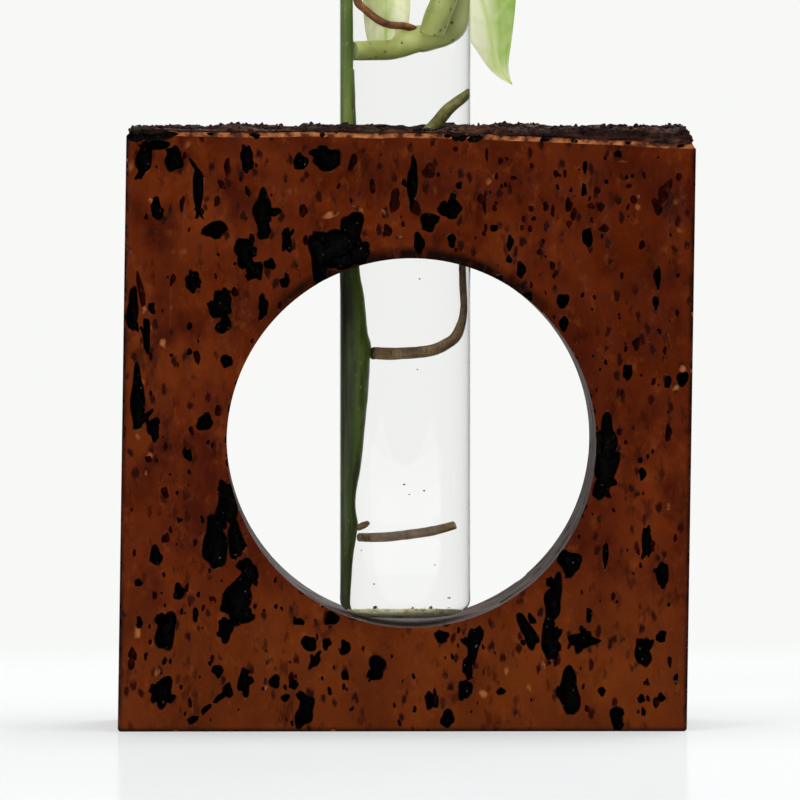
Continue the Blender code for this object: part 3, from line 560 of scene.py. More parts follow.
def varnished_cork(name="cork_varnished", gloss=(0.22, 0.45), shine=0.05, darkening=0.0):
    """Red-brown varnish over cork: broad patches, short upright flecks, pin holes and a fine grain.

    It is darker in patches in a band round the window's upper rim, and painted shade darkens it in patches along the
    front's rounded side edges and along the foot.
    """
    made, tree, shader = surface(name, Specular_IOR_Level=shine)
    x, y, z = object_axes(tree)
    broad = ramp(tree, object_noise(tree, 38, 4, 0.6), [
        (0.28, (0.062, 0.0066, 0.0003)), (0.44, (0.088, 0.0112, 0.0006)), (0.56, (0.112, 0.0158, 0.0012)),
        (0.74, (0.145, 0.0240, 0.0024)),
    ])
    wood = spread(tree, object_noise(tree, 120, 4, 0.65, (1, 1, 0.8), (0.1, 0, 0.7)), 0.35, 0.58)
    lower = masked(tree, spread(tree, z, 0.032, 0.016, 0.0, 0.65), object_noise(tree, 60, 3))
    flecks = spread(tree, object_noise(tree, 420, 4, 0.65, (1, 1, 0.7)), 0.57, 0.76, 0.0, 0.5)
    streaks = spread(tree, object_noise(tree, 380, 3, 0.6, (1, 1, 0.5), (0.3, 0, 0)), 0.60, 0.68, 0.0, 0.6)
    thin = spread(tree, object_noise(tree, 75, 2, 0.5, (1, 1, 1), (0, 0, 0.4)), 0.40, 0.50)
    dots = masked(tree, spread(tree, uneven_cells(tree, 420, (1, 1, 0.55), 0.0016), 0.30, 0.17), thin)
    rare = spread(tree, object_noise(tree, 52, 2, 0.5, (1, 1, 1), (0.6, 0, 0.1)), 0.56, 0.62)
    spots = masked(tree, spread(tree, uneven_cells(tree, 260, (1, 1, 0.7), 0.0022), 0.20, 0.08, 0.0, 0.8), rare)
    # A darker, patchy band round the window's upper rim.
    centred = object_place(tree, (1, 0, 1), (-window_x, 0, -window_z))
    away = node(tree, "ShaderNodeVectorMath", centred, operation="LENGTH").outputs["Value"]
    near = spread(tree, away, window_radius + 1.3 * MM, window_radius + 2.6 * MM, 1.0, 0.0)
    above = spread(tree, node(tree, "ShaderNodeSeparateXYZ", centred).outputs["Z"], 0.020, 0.030)
    patchy = spread(tree, object_noise(tree, 260, 3), 0.34, 0.52, 0.45, 1.0)
    # Painted shade: a dark band along the front's rounded side arrises, made patchy by a noise.
    leaning = calc(tree, "MULTIPLY_ADD", z, -lean / sawn_top, 0.5 * lean)
    aside = calc(tree, "ABSOLUTE", calc(tree, "ADD", x, leaning))
    by_side = spread(tree, aside, block_width / 2 - 1.0 * MM, block_width / 2 - 0.35 * MM, 0.0, 0.92)
    by_front = spread(tree, y, front_y + 0.3 * MM, front_y + 1.2 * MM, 1.0, 0.0)
    wear_and_edge_shade = spread(tree, object_noise(tree, 420, 3, 0.6, (1, 1, 0.4)), 0.36, 0.52, 0.2, 1.0)
    colour = coated(
        tree, (0.052, 0.0050, 0.0003), (wood, broad), (lower, (0.170, 0.036, 0.0030)),
        (flecks, (0.200, 0.044, 0.0070)), (streaks, (0.024, 0.0026, 0.0003)), (dots, (0.019, 0.0019, 0.0002)),
        (spots, (0.36, 0.125, 0.036)), (masked(tree, near, above, patchy), (0.0060, 0.0012, 0.0004)),
        # painted shade along the front's side arrises
        (masked(tree, by_side, by_front, wear_and_edge_shade), (0.012, 0.0022, 0.0008)),
        # painted shade: the lowest millimetre darkens towards the foot's edge
        (spread(tree, z, 0.2 * MM, 1.0 * MM, 0.9, 0.0), (0.008, 0.0016, 0.0006)),
    )
    # The window's wall is darkened in patches towards a grey-brown.
    if darkening:
        darker_patches = spread(tree, object_noise(tree, 90, 3), 0.35, 0.65, 0.8 * darkening, darkening)
        colour = coated(tree, colour, (darker_patches, (0.014, 0.011, 0.008)))
    put(tree, shader.inputs["Roughness"], spread(tree, object_noise(tree, 160, 3), 0.3, 0.7, *gloss))
    grain = object_noise(tree, 1500, 3)
    lumps = object_noise(tree, 240, 4, 0.6, (1, 1, 0.7), (0.2, 0.2, 0))
    heights = [(lumps, 0.5, 0.0006), (flecks, 0.25, 0.0003), (dots, 0.6, -0.0004), (grain, 0.25, 0.0002)]
    dress(tree, shader, colour, heights)
    return made


def pore_dark():
    """The inside of a pore: near-black woody tissue, lumpy, with a broken gloss where varnish ran in, and small grey
    painted highlights in its colour.
    """
    made, tree, shader = surface("pore_dark", Specular_IOR_Level=0.05)
    colour = ramp(tree, object_noise(tree, 900, 4), [
        (0.40, (0.0005, 0.0005, 0.0004)), (0.62, (0.0018, 0.0010, 0.0006)), (0.76, (0.020, 0.0040, 0.0012)),
    ])
    # Painted highlights: small grey spots in the colour that stand in for glints of the varnish.
    painted_glints = spread(tree, uneven_cells(tree, 560, (1, 1, 0.8), 0.0012), 0.11, 0.05)
    colour = coated(tree, colour, (painted_glints, (0.16, 0.16, 0.15)))
    put(tree, shader.inputs["Roughness"], spread(tree, object_noise(tree, 700, 2), 0.46, 0.60, 0.10, 0.60))
    dress(tree, shader, colour, [(object_noise(tree, 1600, 4), 0.9, 0.0006)])
    return made


# The other skins of the cork are bare cork where an edge is sanded or chipped, the worn rim of a pore
# where the varnish lies thin, and a shallow pore where it lies in a pool.
cork = varnished_cork()
pit_skins = (
    pore_dark(),
    noise_skin("cork_raw", (500, 4), [
        (0.40, (0.045, 0.009, 0.002)), (0.50, (0.22, 0.060, 0.014)), (0.68, (0.42, 0.155, 0.050)),
    ], ((1400, 4), 0.6, 0.0004), Specular_IOR_Level=0.12, Roughness=0.75),
    noise_skin("pore_rim", (330, 4, 0.6), [
        (0.40, (0.020, 0.0035, 0.0012)), (0.53, (0.070, 0.0120, 0.0030)), (0.64, (0.13, 0.034, 0.010)),
        (0.75, (0.30, 0.12, 0.050)),
    ], ((1200, 3), 0.5, 0.0003), Specular_IOR_Level=0.15, Roughness=0.35),
    noise_skin("pore_red", (800, 3), [
        (0.38, (0.0070, 0.0007, 0.0001)), (0.55, (0.021, 0.0016, 0.0002)), (0.72, (0.048, 0.0060, 0.0006)),
    ], ((1300, 3), 0.5, 0.0003), Specular_IOR_Level=0.02, Roughness=0.6),
)
block = add_object("cork_block_body", block_blank())
for material in (cork, *pit_skins):
    block.data.materials.append(material)
chipped_edges()
cutters = pit_cutters(pits, rng)
for cutter in cutters:
    for material in pit_skins:
        cutter.materials.append(material)
through = Matrix.Translation((window_x, 0, window_z)) @ Matrix.Rotation(math.radians(90), 4, "X")
window_mesh = cylinder_mesh(window_radius, 0.06, window_sides, through)
window_mesh.materials.append(varnished_cork("cork_window", (0.45, 0.65), 0.10, 0.7))
bore_mesh = cylinder_mesh(bore_radius, 0.09, bore_sides, Matrix.Translation((0, 0, window_z + 0.045)))
bore_mesh.materials.append(cork)
subtract(block, [window_mesh, bore_mesh] + cutters)
block.data.shade_smooth()
block.data.set_sharp_from_angle(angle=math.radians(32))
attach(block, "block")
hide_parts("cork_block")


# The bark crust: the cork oak's own rough outer bark, left on the block's top as it grew. It is dark
# brown with grey and greenish tints, cracked into lumps, and a few crumbs of it lie loose in the cracks.
crust_step = 0.6 * MM
crust_inset = 0.7 * MM
crust_top = 115.3 * MM


def crust_height(x, y):
    """The bark's surface above the sawn top: lumps parted by cracks, thin flakes at the edges."""
    half_x, half_y = block_width / 2, (back_y - front_y) / 2
    edge = min(half_x - abs(x), half_y - abs(y)) - crust_inset
    lump = 11 * MM
    lumps = noise.noise(Vector((x / lump, y / lump, 0.7)))
    crumbs = noise.noise(Vector((3.1 * x / lump, 3.1 * y / lump, 4.2)))
    share = min(1.0, max(0.25, 0.72 + 0.35 * lumps + 0.25 * crumbs))
    place = Vector((x, y, 0.0)) / MM
    torn = 0.7 + 0.9 * (0.5 + noise.noise(place / 2.2))
    shoulder = 0.45 + 0.55 * min(1.0, max(0.0, edge) / (torn * MM)) if edge > 0 else 0.1
    cells = noise.voronoi(place / 6.5 + Vector((crumbs, lumps, 0)))[0]
    crack = max(0.0, 1 - (cells[1] - cells[0]) / 0.14)
    grit = noise.fractal(place / 1.3, 0.6, 2.1, 5)
    bark = sawn_top + (3.0 * share + 0.34 * grit - 0.45 * crack) * MM
    base = sawn_height(x)
    return min(crust_top, base + max(0.25 * MM, bark - base) * shoulder)


def bark_slab():
    bm = bmesh.new()
    half_x, half_y = block_width / 2 - crust_inset, (back_y - front_y) / 2 - crust_inset
    columns, rows = round(2 * half_x / crust_step), round(2 * half_y / crust_step)
    grid = []
    for i in range(columns + 1):
        x = half_x * (2 * i / columns - 1)
        strip = []
        for j in range(rows + 1):
            y = half_y * (2 * j / rows - 1)
            wobble = 0.25 * MM * noise.noise(Vector((x, y, 0.3)) * 700)
            height = crust_height(x, y)
            strip.append(bm.verts.new((x + block_side(height) + wobble, y + wobble, height)))
        grid.append(strip)
    for i in range(columns):
        for j in range(rows):
            bm.faces.new((grid[i][j], grid[i + 1][j], grid[i + 1][j + 1], grid[i][j + 1]))
    rim = [e for e in bm.edges if e.is_boundary]
    low = bmesh.ops.extrude_edge_only(bm, edges=rim)["geom"]
    for v in (g for g in low if isinstance(g, bmesh.types.BMVert)):
        v.co.z = sawn_height(v.co.x) - 1.0 * MM
        v.co.x, v.co.y = v.co.x * 0.985, v.co.y * 0.965
    # The extrusion makes the side faces in an order of its own each run, and crumbs are strewn by it.
    bm.faces.ensure_lookup_table()
    sides = sorted(bm.faces[columns * rows:], key=lambda f: tuple(f.calc_center_median()))
    bm.faces.index_update()
    for index, face in enumerate(sides, columns * rows):
        face.index = index
    bm.faces.sort()
    bmesh.ops.holes_fill(bm, edges=[e for e in bm.edges if e.is_boundary])
    bmesh.ops.recalc_face_normals(bm, faces=bm.faces)
    return mesh_from(bm, "bark_crust")


def bark():
    """Dark brown to red-brown outer bark, with greenish lichen and rusty patches."""
    made, tree, shader = surface("bark", Specular_IOR_Level=0.05)
    tint = ramp(tree, object_noise(tree, 300, 5, 0.7, (0.6, 0.6, 2.2)), [
        (0.37, (0.0045, 0.0022, 0.0018)), (0.47, (0.014, 0.0055, 0.0042)), (0.55, (0.042, 0.0130, 0.0080)),
        (0.65, (0.105, 0.042, 0.026)),
    ])
    lichen = spread(tree, object_noise(tree, 190, 4, 0.6, (1, 1, 1), (0.2, 0.1, 0)), 0.58, 0.72)
    rust = spread(tree, object_noise(tree, 330, 3, 0.6, (1, 1, 1), (0.7, 0, 0.2)), 0.66, 0.74)
    colour = coated(tree, tint, (lichen, (0.034, 0.034, 0.022)), (rust, (0.11, 0.030, 0.012)))
    put(tree, shader.inputs["Roughness"], spread(tree, object_noise(tree, 400, 2), 0.35, 0.65, 0.45, 0.85))
    flakes = object_noise(tree, 500, 4, 0.6, (0.5, 0.5, 3.0))
    dress(tree, shader, colour, [(flakes, 0.8, 0.0007), (object_noise(tree, 1300, 5, 0.65), 0.9, 0.0006)])
    return made


bark_skin = bark()
crust = add_object("bark_crust", bark_slab())
crust.data.materials.append(bark_skin)
bore_cut = cylinder_mesh(bore_radius, 0.02, bore_sides, Matrix.Translation((0, 0, sawn_top)))
bore_cut.materials.append(bark_skin)
subtract(crust, [bore_cut])


def node_tree(name, **kinds):
    """A Geometry Nodes tree with these inputs and one output, and the sockets that give its inputs."""
    tree = bpy.data.node_groups.new(name, "GeometryNodeTree")
    for label, kind in kinds.items():
        tree.interface.new_socket(label, in_out="INPUT", socket_type="NodeSocket" + kind)
    tree.interface.new_socket("Result", in_out="OUTPUT", socket_type="NodeSocketGeometry")
    return tree, node(tree, "NodeGroupInput").outputs


def end_tree(tree, shape, material):
    """End the tree with real geometry that has its material."""
    solid = node(tree, "GeometryNodeRealizeInstances", shape)
    node(tree, "NodeGroupOutput", node(tree, "GeometryNodeSetMaterial", solid, Material=material))


def run_nodes(host, tree, values):
    """Give the tree to the object with its inputs set by identifier, and keep the result as a plain mesh."""
    modifier = host.modifiers.new("nodes", "NODES")
    modifier.node_group = tree
    for item in tree.interface.items_tree:
        if item.in_out == "INPUT" and item.name in values:
            modifier[item.identifier] = values[item.name]
    graph = bpy.context.evaluated_depsgraph_get()
    made = bpy.data.meshes.new_from_object(host.evaluated_get(graph))
    host.modifiers.remove(modifier)
    host.data = made
    return host


def strewing_tree():
    """Geometry Nodes that strew turned copies of a small grain over a surface."""
    tree, given = node_tree(
        "strewn_grains", Ground="Geometry", Grain="Object", Skin="Material", Density="Float", Smallest="Float",
        Largest="Float", Flatness="Float", Seed="Int",
    )
    ground, seed, any_turn = given["Ground"], given["Seed"], (2 * math.pi, 2 * math.pi, 2 * math.pi)
    points = node(tree, "GeometryNodeDistributePointsOnFaces", ground, Density=given["Density"], Seed=seed)
    shape = node(tree, "GeometryNodeObjectInfo", given["Grain"]).outputs["Geometry"]
    limits = (None, None, given["Smallest"], given["Largest"])
    size = node(tree, "FunctionNodeRandomValue", *limits, data_type="FLOAT", Seed=seed).outputs[1]
    turn = node(tree, "FunctionNodeRandomValue", None, any_turn, data_type="FLOAT_VECTOR", Seed=seed)
    flat = node(tree, "ShaderNodeCombineXYZ", 1.0, 1.0, given["Flatness"])
    squeeze = node(tree, "ShaderNodeVectorMath", flat, size, operation="MULTIPLY")
    copies = node(tree, "GeometryNodeInstanceOnPoints", points, Instance=shape, Rotation=turn, Scale=squeeze)
    end_tree(tree, copies, given["Skin"])
    return tree


def pebble(name, material, seed):
    """A small uneven grain, one unit across, kept out of the scene."""
    bm = bmesh.new()
    bmesh.ops.create_icosphere(bm, subdivisions=1, radius=0.5)
    shake = random.Random(seed)
    for v in bm.verts:
        v.co *= 1 + shake.uniform(-0.3, 0.3)
    mesh = mesh_from(bm, name)
    mesh.materials.append(material)
    return bpy.data.objects.new(name, mesh)


strewn_grains = strewing_tree()
crumbs = run_nodes(add_object("bark_crumbs", crust.data.copy()), strewn_grains, {
    "Grain": pebble("crumb", bark_skin, 1), "Skin": bark_skin, "Density": 330000.0, "Smallest": 0.25 * MM,
    "Largest": 1.3 * MM, "Flatness": 0.6, "Seed": 4,
})
for v in crumbs.data.vertices:
    v.co.x = min(max(v.co.x, block_low.x), block_high.x)
    v.co.y = min(max(v.co.y, front_y), back_y)
for piece in (crust, crumbs):
    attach(piece, "block")


# The glass tube: a laboratory test tube of clear borosilicate glass with a shallow domed foot and a
# slightly swollen, fire-polished rim. It stands in its bore and comes out upwards.
cad_foot, tube_top = (corner.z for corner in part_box("glass_tube"))
tube_foot = cad_foot - 1.35 * MM
tube_radius = 12.5 * MM
tube_wall = 1.2 * MM
tube_base = 0.6 * MM
tube_sides = 96
foot_curve = [
    (0.0, 0.0), (0.35, 0.04), (0.58, 0.22), (0.75, 0.62), (0.87, 1.15), (0.945, 1.8), (0.985, 2.6), (1.0, 3.5),
]
inner_radius = tube_radius - tube_wall
rim_swell = 0.5 * MM
rim_height = 2.4 * MM
water_level = 155.0 * MM
water_edge = water_level + 1.2 * MM
glass_index, water_index = 1.5, 1.33


def arc_points(centre_r, centre_z, radius, start, stop, count):
    """Points of a circle's arc in the tube's (radius, height) plane, between two angles in degrees."""
    return [
        (centre_r + radius * math.cos(math.radians(a)), centre_z + radius * math.sin(math.radians(a)))
        for a in (start + (stop - start) * i / count for i in range(count + 1))
    ]


def turned(name, profile, sides):
    """A closed body turned about the z axis; the profile starts and ends on the axis."""
    bm = bmesh.new()
    rings = []
    for r, z in profile:
        if r < 1e-7:
            rings.append([bm.verts.new((0, 0, z))])
            continue
        ring = []
        for i in range(sides):
            angle = 2 * math.pi * i / sides
            ring.append(bm.verts.new((r * math.cos(angle), r * math.sin(angle), z)))
        rings.append(ring)
    for low, high in zip(rings, rings[1:]):
        for i in range(sides):
            j = (i + 1) % sides
            corners = [low[i % len(low)], low[j % len(low)], high[j % len(high)], high[i % len(high)]]
            bm.faces.new(list(dict.fromkeys(corners)))
    bmesh.ops.recalc_face_normals(bm, faces=bm.faces)
    mesh = mesh_from(bm, name)
    mesh.shade_smooth()
    return mesh


def foot_points(radius, low):
    """The tube's foot in section, from its axis out to its wall: a shallow dome with a tight heel."""
    return [(share * radius, low + rise * MM) for share, rise in foot_curve]


def tube_profile():
    points = foot_points(tube_radius, tube_foot)
    steps = 30
    start = points[-1][1]
    body = tube_top - rim_height - start
    points += [(tube_radius, start + body * (i + 1) / steps) for i in range(steps)]
    rim_z = tube_top - 0.5 * rim_height
    points += [(tube_radius + 0.7 * rim_swell, rim_z - 0.5 * MM)]
    points += arc_points(tube_radius + rim_swell - 0.8 * MM, tube_top - 0.8 * MM, 0.8 * MM, 0, 90, 6)
    points += arc_points(inner_radius + 0.7 * MM, tube_top - 0.7 * MM, 0.7 * MM, 90, 180, 6)
    points += [(inner_radius, water_edge + (tube_top - rim_height - water_edge) * (3 - i) / 3) for i in range(3)]
    floor_line = foot_points(inner_radius, tube_foot + tube_base)
    low = floor_line[-1][1]
    points += [(inner_radius, low + (water_edge - low) * (steps - i) / steps) for i in range(steps)]
    return points + floor_line[::-1]


def clear(name, index):
    """A clear body that lets light through to what lies inside and behind it."""
    made, tree = empty_material(name)
    bend = node(tree, "ShaderNodeBsdfGlass", Color=(1, 1, 1, 1), Roughness=0.0, IOR=index)
    open_way = node(tree, "ShaderNodeBsdfTransparent", Color=(1, 1, 1, 1))
    shadow = node(tree, "ShaderNodeLightPath").outputs["Is Shadow Ray"]
    node(tree, "ShaderNodeOutputMaterial", mix(tree, shadow, bend, open_way))
    return made


tube = add_object("glass_tube_body", turned("glass_tube_body", tube_profile(), tube_sides))
tube.data.materials.append(clear("clear_glass", glass_index))
tube.data.materials.append(clear("glass_on_water", glass_index / water_index))
for face in tube.data.polygons:
    faces_axis = face.normal.x * face.center.x + face.normal.y * face.center.y < -1e-7
    if (faces_axis or face.normal.z > 0.5) and face.center.z < water_edge:
        face.material_index = 1
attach(tube, "tube")
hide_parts("glass_tube")


# The water: it fills the tube to a little below the rim, with a curved edge where it climbs the glass.
# The light bends between glass and water at the tube's own wet wall, so only its surface bends it here.
water_radius = inner_radius - 0.02 * MM
water_floor = tube_foot + tube_base + 0.02 * MM
water_points = foot_points(water_radius, water_floor)
water_points += [(water_radius, water_floor + (water_edge - water_floor) * (i + 2) / 24) for i in range(22)]
water_points += [(water_radius - inset * MM, water_level + rise * MM) for inset, rise in ((0.4, 0.7), (1.2, 0.2))]
water_points += [(water_radius - 2.6 * MM, water_level), (0.0, water_level)]
water_side, tree = empty_material("water_side")
node(tree, "ShaderNodeOutputMaterial", node(tree, "ShaderNodeBsdfTransparent"))
water = add_object("water", turned("water", water_points, tube_sides))
water.data.materials.append(water_side)
water.data.materials.append(clear("water_surface", water_index))
for face in water.data.polygons:
    if face.normal.z > 0.3:
        face.material_index = 1
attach(water, "tube")


# The silt: fine brown and olive grains that have settled on the tube's floor, and a few specks of root
# skin that hang in the water or cling to the glass.
silt_skin = noise_skin("silt", (900, 3), [
    (0.32, (0.34, 0.30, 0.14)), (0.45, (0.68, 0.64, 0.38)), (0.65, (0.84, 0.81, 0.56)),
], Specular_IOR_Level=0.2, Roughness=0.7)
bed_low, bed_rise = tube_foot + tube_base + 0.05 * MM, 1.85 * MM
floor_points = [(r - 0.15 * MM if r else 0.0, z) for r, z in foot_points(inner_radius, bed_low)[:6]]
floor_points += [(0.7 * inner_radius, bed_low + bed_rise), (0.0, bed_low + bed_rise + 0.05 * MM)]
silt_bed = turned("silt_bed", floor_points, 48)
for v in silt_bed.vertices:
    if v.co.z > bed_low + bed_rise - 0.05 * MM:
        v.co.z += 0.30 * MM * noise.noise(v.co / (2.5 * MM))
silt_bed.materials.append(silt_skin)
bed = add_object("silt_bed", silt_bed)
silt = run_nodes(add_object("silt_grains", silt_bed.copy()), strewn_grains, {
    "Grain": pebble("silt_grain", silt_skin, 3), "Skin": silt_skin, "Density": 1800000.0,
    "Smallest": 0.15 * MM, "Largest": 0.6 * MM, "Flatness": 0.5, "Seed": 9,
})
speck_skin = noise_skin("speck", (900, 3), [
    (0.35, (0.030, 0.020, 0.010)), (0.5, (0.070, 0.055, 0.025)), (0.68, (0.140, 0.120, 0.060)),
], Specular_IOR_Level=0.2, Roughness=0.7)
speck_places_mm = [
    (-5.0, -5.0, 23.35, 0.9), (-4.9, -3.0, 27.3, 0.35), (4.2, -6.0, 23.4, 0.6), (7.6, -3.0, 23.4, 0.7),
    (1.2, -8.0, 23.3, 0.5), (2.4, -8.0, 85.5, 0.35), (-0.3, -9.0, 46.4, 0.45), (3.2, -8.5, 45.2, 0.40),
    (0.6, -9.2, 44.5, 0.30), (5.7, 4.0, 24.7, 0.45), (-6.0, 2.0, 33.5, 0.25), (1.6, 6.0, 68.0, 0.25),
    (-2.0, -7.0, 37.0, 0.25), (5.0, -7.0, 31.0, 0.3),
]
specks = bmesh.new()
shake = random.Random(8)
for x, y, z, size in speck_places_mm:
    place = Matrix.Translation(Vector((x, y, z)) * MM) @ Matrix.Diagonal((1, 0.6, 0.7, 1))
    for v in bmesh.ops.create_icosphere(specks, subdivisions=2, radius=0.5 * size * MM, matrix=place)["verts"]:
        v.co += Vector([shake.uniform(-0.1, 0.1) * size * MM for _ in range(3)])
floating = add_object("water_specks", mesh_from(specks, "water_specks"))
floating.data.materials.append(speck_skin)
for piece in (bed, silt, floating):
    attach(piece, "tube")


# The stem: the cutting's main stalk, a climbing houseplant's, standing along the tube's left wall with
# a swelling at each node. It is olive green with fine darker stripes, scars and pale dots. All sizes of
# the cutting are in millimetres, with heights above the tube's foot.
foot = Vector((0, 0, cad_foot))
seat_gap = 0.3
tube_reach = inner_radius / MM
reach = tube_reach - seat_gap
stem_radius = 2.1
block_top_in_tube = 93.45
room_floor = 1.5
shoot_level = block_top_in_tube + 13.6
upper_level = block_top_in_tube - 10.0
lower_level = room_floor + 14.4
middle_level = room_floor + 49.0
tube_length = 150.0


def smooth_route(knots, step):
    """The knots joined by a smooth line: (x, y, z, radius) points about one step apart."""
    ends = [knots[0]] + list(knots) + [knots[-1]]
    route = []
    for a, b, c, d in zip(ends, ends[1:], ends[2:], ends[3:]):
        span = max(2, round((Vector(c[:3]) - Vector(b[:3])).length / step))
        for i in range(span):
            t = i / span
            point = []
            for p, q, r, s in zip(a, b, c, d):
                bend = (2 * q) + (r - p) * t + (2 * p - 5 * q + 4 * r - s) * t ** 2
                point.append(0.5 * (bend + (3 * q - p - 3 * r + s) * t ** 3))
            route.append(point)
    return route + [list(knots[-1])]


def sweeping_tree():
    """Geometry Nodes that sweep a round, slightly lumpy section along a line of points."""
    tree, given = node_tree(
        "swept_stalk", Line="Geometry", Sides="Int", Lumps="Float", Grain="Float", Skin="Material",
    )
    thick = node(tree, "GeometryNodeInputNamedAttribute", data_type="FLOAT", Name="thick")
    line = node(tree, "GeometryNodeMeshToCurve", given["Line"])
    line = node(tree, "GeometryNodeSetCurveRadius", line, Radius=thick)
    section = node(tree, "GeometryNodeCurvePrimitiveCircle", Resolution=given["Sides"], Radius=1.0)
    swept = node(tree, "GeometryNodeCurveToMesh", line, section, thick, Fill_Caps=True)
    place = node(tree, "GeometryNodeInputPosition")
    rough = node(tree, "ShaderNodeTexNoise", place, Scale=given["Grain"], Detail=3.0)
    depth = masked(tree, calc(tree, "MULTIPLY_ADD", rough, -2.4, 0.7), given["Lumps"], thick)
    outward = node(tree, "GeometryNodeInputNormal")
    push = node(tree, "ShaderNodeVectorMath", outward, operation="SCALE", Scale=depth)
    moved = node(tree, "GeometryNodeSetPosition", swept, Offset=push)
    end_tree(tree, node(tree, "GeometryNodeSetShadeSmooth", moved), given["Skin"])
    return tree


swept_stalk = sweeping_tree()


def rod(name, radius, knots, skin, replaced, sides=16, step=0.4, lumps=0.10, grain=900.0, rings=()):
    """A stalk or root swept along a smooth line through its knots: (x, y, z, share of the radius).

    rings holds the swellings: (height along the line from 0 to 1, swelling as a share, half-width).
    """
    route = smooth_route([(x * MM, y * MM, z * MM, share * radius * MM) for x, y, z, share in knots], step * MM)
    centres = [Vector(p[:3]) + foot for p in route]
    lengths = [0.0]
    for a, b in zip(centres, centres[1:]):
        lengths.append(lengths[-1] + (b - a).length)
    mesh = bpy.data.meshes.new(name)
    mesh.from_pydata(centres, [(i, i + 1) for i in range(len(centres) - 1)], [])
    thick = mesh.attributes.new("thick", "FLOAT", "POINT")
    for value, point, length in zip(thick.data, route, lengths):
        swell = 1.0
        for share, amount, width in rings:
            swell += amount * math.exp(-(((length - share * lengths[-1]) / (width * MM)) ** 2))
        value.value = point[3] * swell
    made = run_nodes(add_object(name, mesh), swept_stalk, {
        "Sides": sides, "Lumps": lumps, "Grain": grain, "Skin": skin,
    })
    made.data.set_sharp_from_angle(angle=math.radians(60))
    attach(made, "cutting")
    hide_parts(replaced)


def stem_skin():
    """Olive green; in the window, along the tube's wall, it turns a dark bottle green."""
    made, tree, shader = surface("stem_green", Specular_IOR_Level=0.4, Roughness=0.42)
    green = ramp(tree, object_noise(tree, 150, 3, 0.5, (1, 1, 0.35)), [
        (0.32, (0.045, 0.085, 0.006)), (0.52, (0.085, 0.145, 0.012)), (0.72, (0.165, 0.235, 0.030)),
    ])
    stripes = spread(tree, object_noise(tree, 1500, 2, 0.5, (1, 1, 0.05)), 0.50, 0.66)
    dots = spread(tree, object_cells(tree, 900, (1, 1, 0.6)), 0.24, 0.14)
    scars = spread(tree, object_noise(tree, 420, 3, 0.6, (1, 1, 0.6), (0.4, 0, 0)), 0.64, 0.70)
    x, y, z = object_axes(tree)
    sunk, left = spread(tree, z, 0.094, 0.087), spread(tree, x, -0.0072, -0.0088, 0.35, 0.95)
    uneven = spread(tree, object_noise(tree, 130, 3, 0.6, (1, 1, 0.4)), 0.35, 0.60, 0.55, 1.0)
    colour = coated(
        tree, green, (stripes, (0.036, 0.056, 0.006)), (dots, (0.22, 0.25, 0.10)), (scars, (0.060, 0.036, 0.014)),
        (masked(tree, sunk, left, uneven), (0.012, 0.022, 0.0012)),
    )
    dress(tree, shader, colour, [(stripes, 0.3, -0.0002), (object_noise(tree, 900, 3), 0.4, 0.0002)])
    return made


stem_shares = [
    (lower_level - 6.0, 0.76), (lower_level, 0.93), (lower_level + 5.5, 0.87), (lower_level + 13, 1.10),
    (middle_level - 10.2, 1.32), (middle_level - 1.0, 1.43), (middle_level + 3.2, 1.32), (middle_level + 9.0, 1.22),
    (middle_level + 16.2, 1.01), (upper_level, 1.05), (block_top_in_tube, 0.90), (shoot_level - 3.8, 0.82),
    (shoot_level, 0.77), (tube_length, 0.80),
]
stem_end = Vector((stem_radius - reach + 0.6, 0.0, tube_length + 12))
stem_knots = [(0.50 * stem_radius + 0.55 - reach, 0.0, 1.3, 0.50)]
stem_knots += [(share * stem_radius - reach, 0.0, z, share) for z, share in stem_shares] + [(*stem_end, 0.8)]
stem_nodes = [(0.095, 0.06, 1.2), (0.305, 0.05, 1.5), (0.52, 0.06, 1.3), (0.665, 0.05, 1.5)]
rod("stem", stem_radius, stem_knots, stem_skin(), "main_stem", 28, 0.6, 0.05, 260.0, stem_nodes)


# The roots: water roots that grow from the stem's nodes, brown with pale tips and a rough, peeling
# skin, and a bud at the lowest node. The upper one, above the block's top, is olive green.
middle_root_radius = 1.25
lower_root_radius = 0.95
upper_root_radius = 1.0
bud_radius = 0.65
root_depth = 1.2
upper_depth, upper_climb = 2 * root_depth, 15.8


def root_skin(name, low, mid, high):
    rings = (object_noise, (2200, 2, 0.5, (1, 0.25, 0.25)), (0.5, 0.7), low)
    return noise_skin(
        name, (520, 4, 0.6, (0.5, 1, 1)), [(0.32, low), (0.5, mid), (0.7, high)], ((1500, 4), 0.6, 0.0003),
        [rings], Specular_IOR_Level=0.35, Roughness=0.5,
    )


root_brown = root_skin("root_brown", (0.075, 0.038, 0.014), (0.170, 0.100, 0.038), (0.290, 0.200, 0.095))
root_olive = root_skin("root_olive", (0.075, 0.070, 0.010), (0.180, 0.165, 0.034), (0.300, 0.270, 0.080))


def at_wall(y, radius):
    return math.sqrt((reach - radius) ** 2 - y ** 2)


def stem_face(share):
    """Where a root starts on the stem's right side, where the stem has this share of its radius."""
    return 2 * share * stem_radius - reach + seat_gap


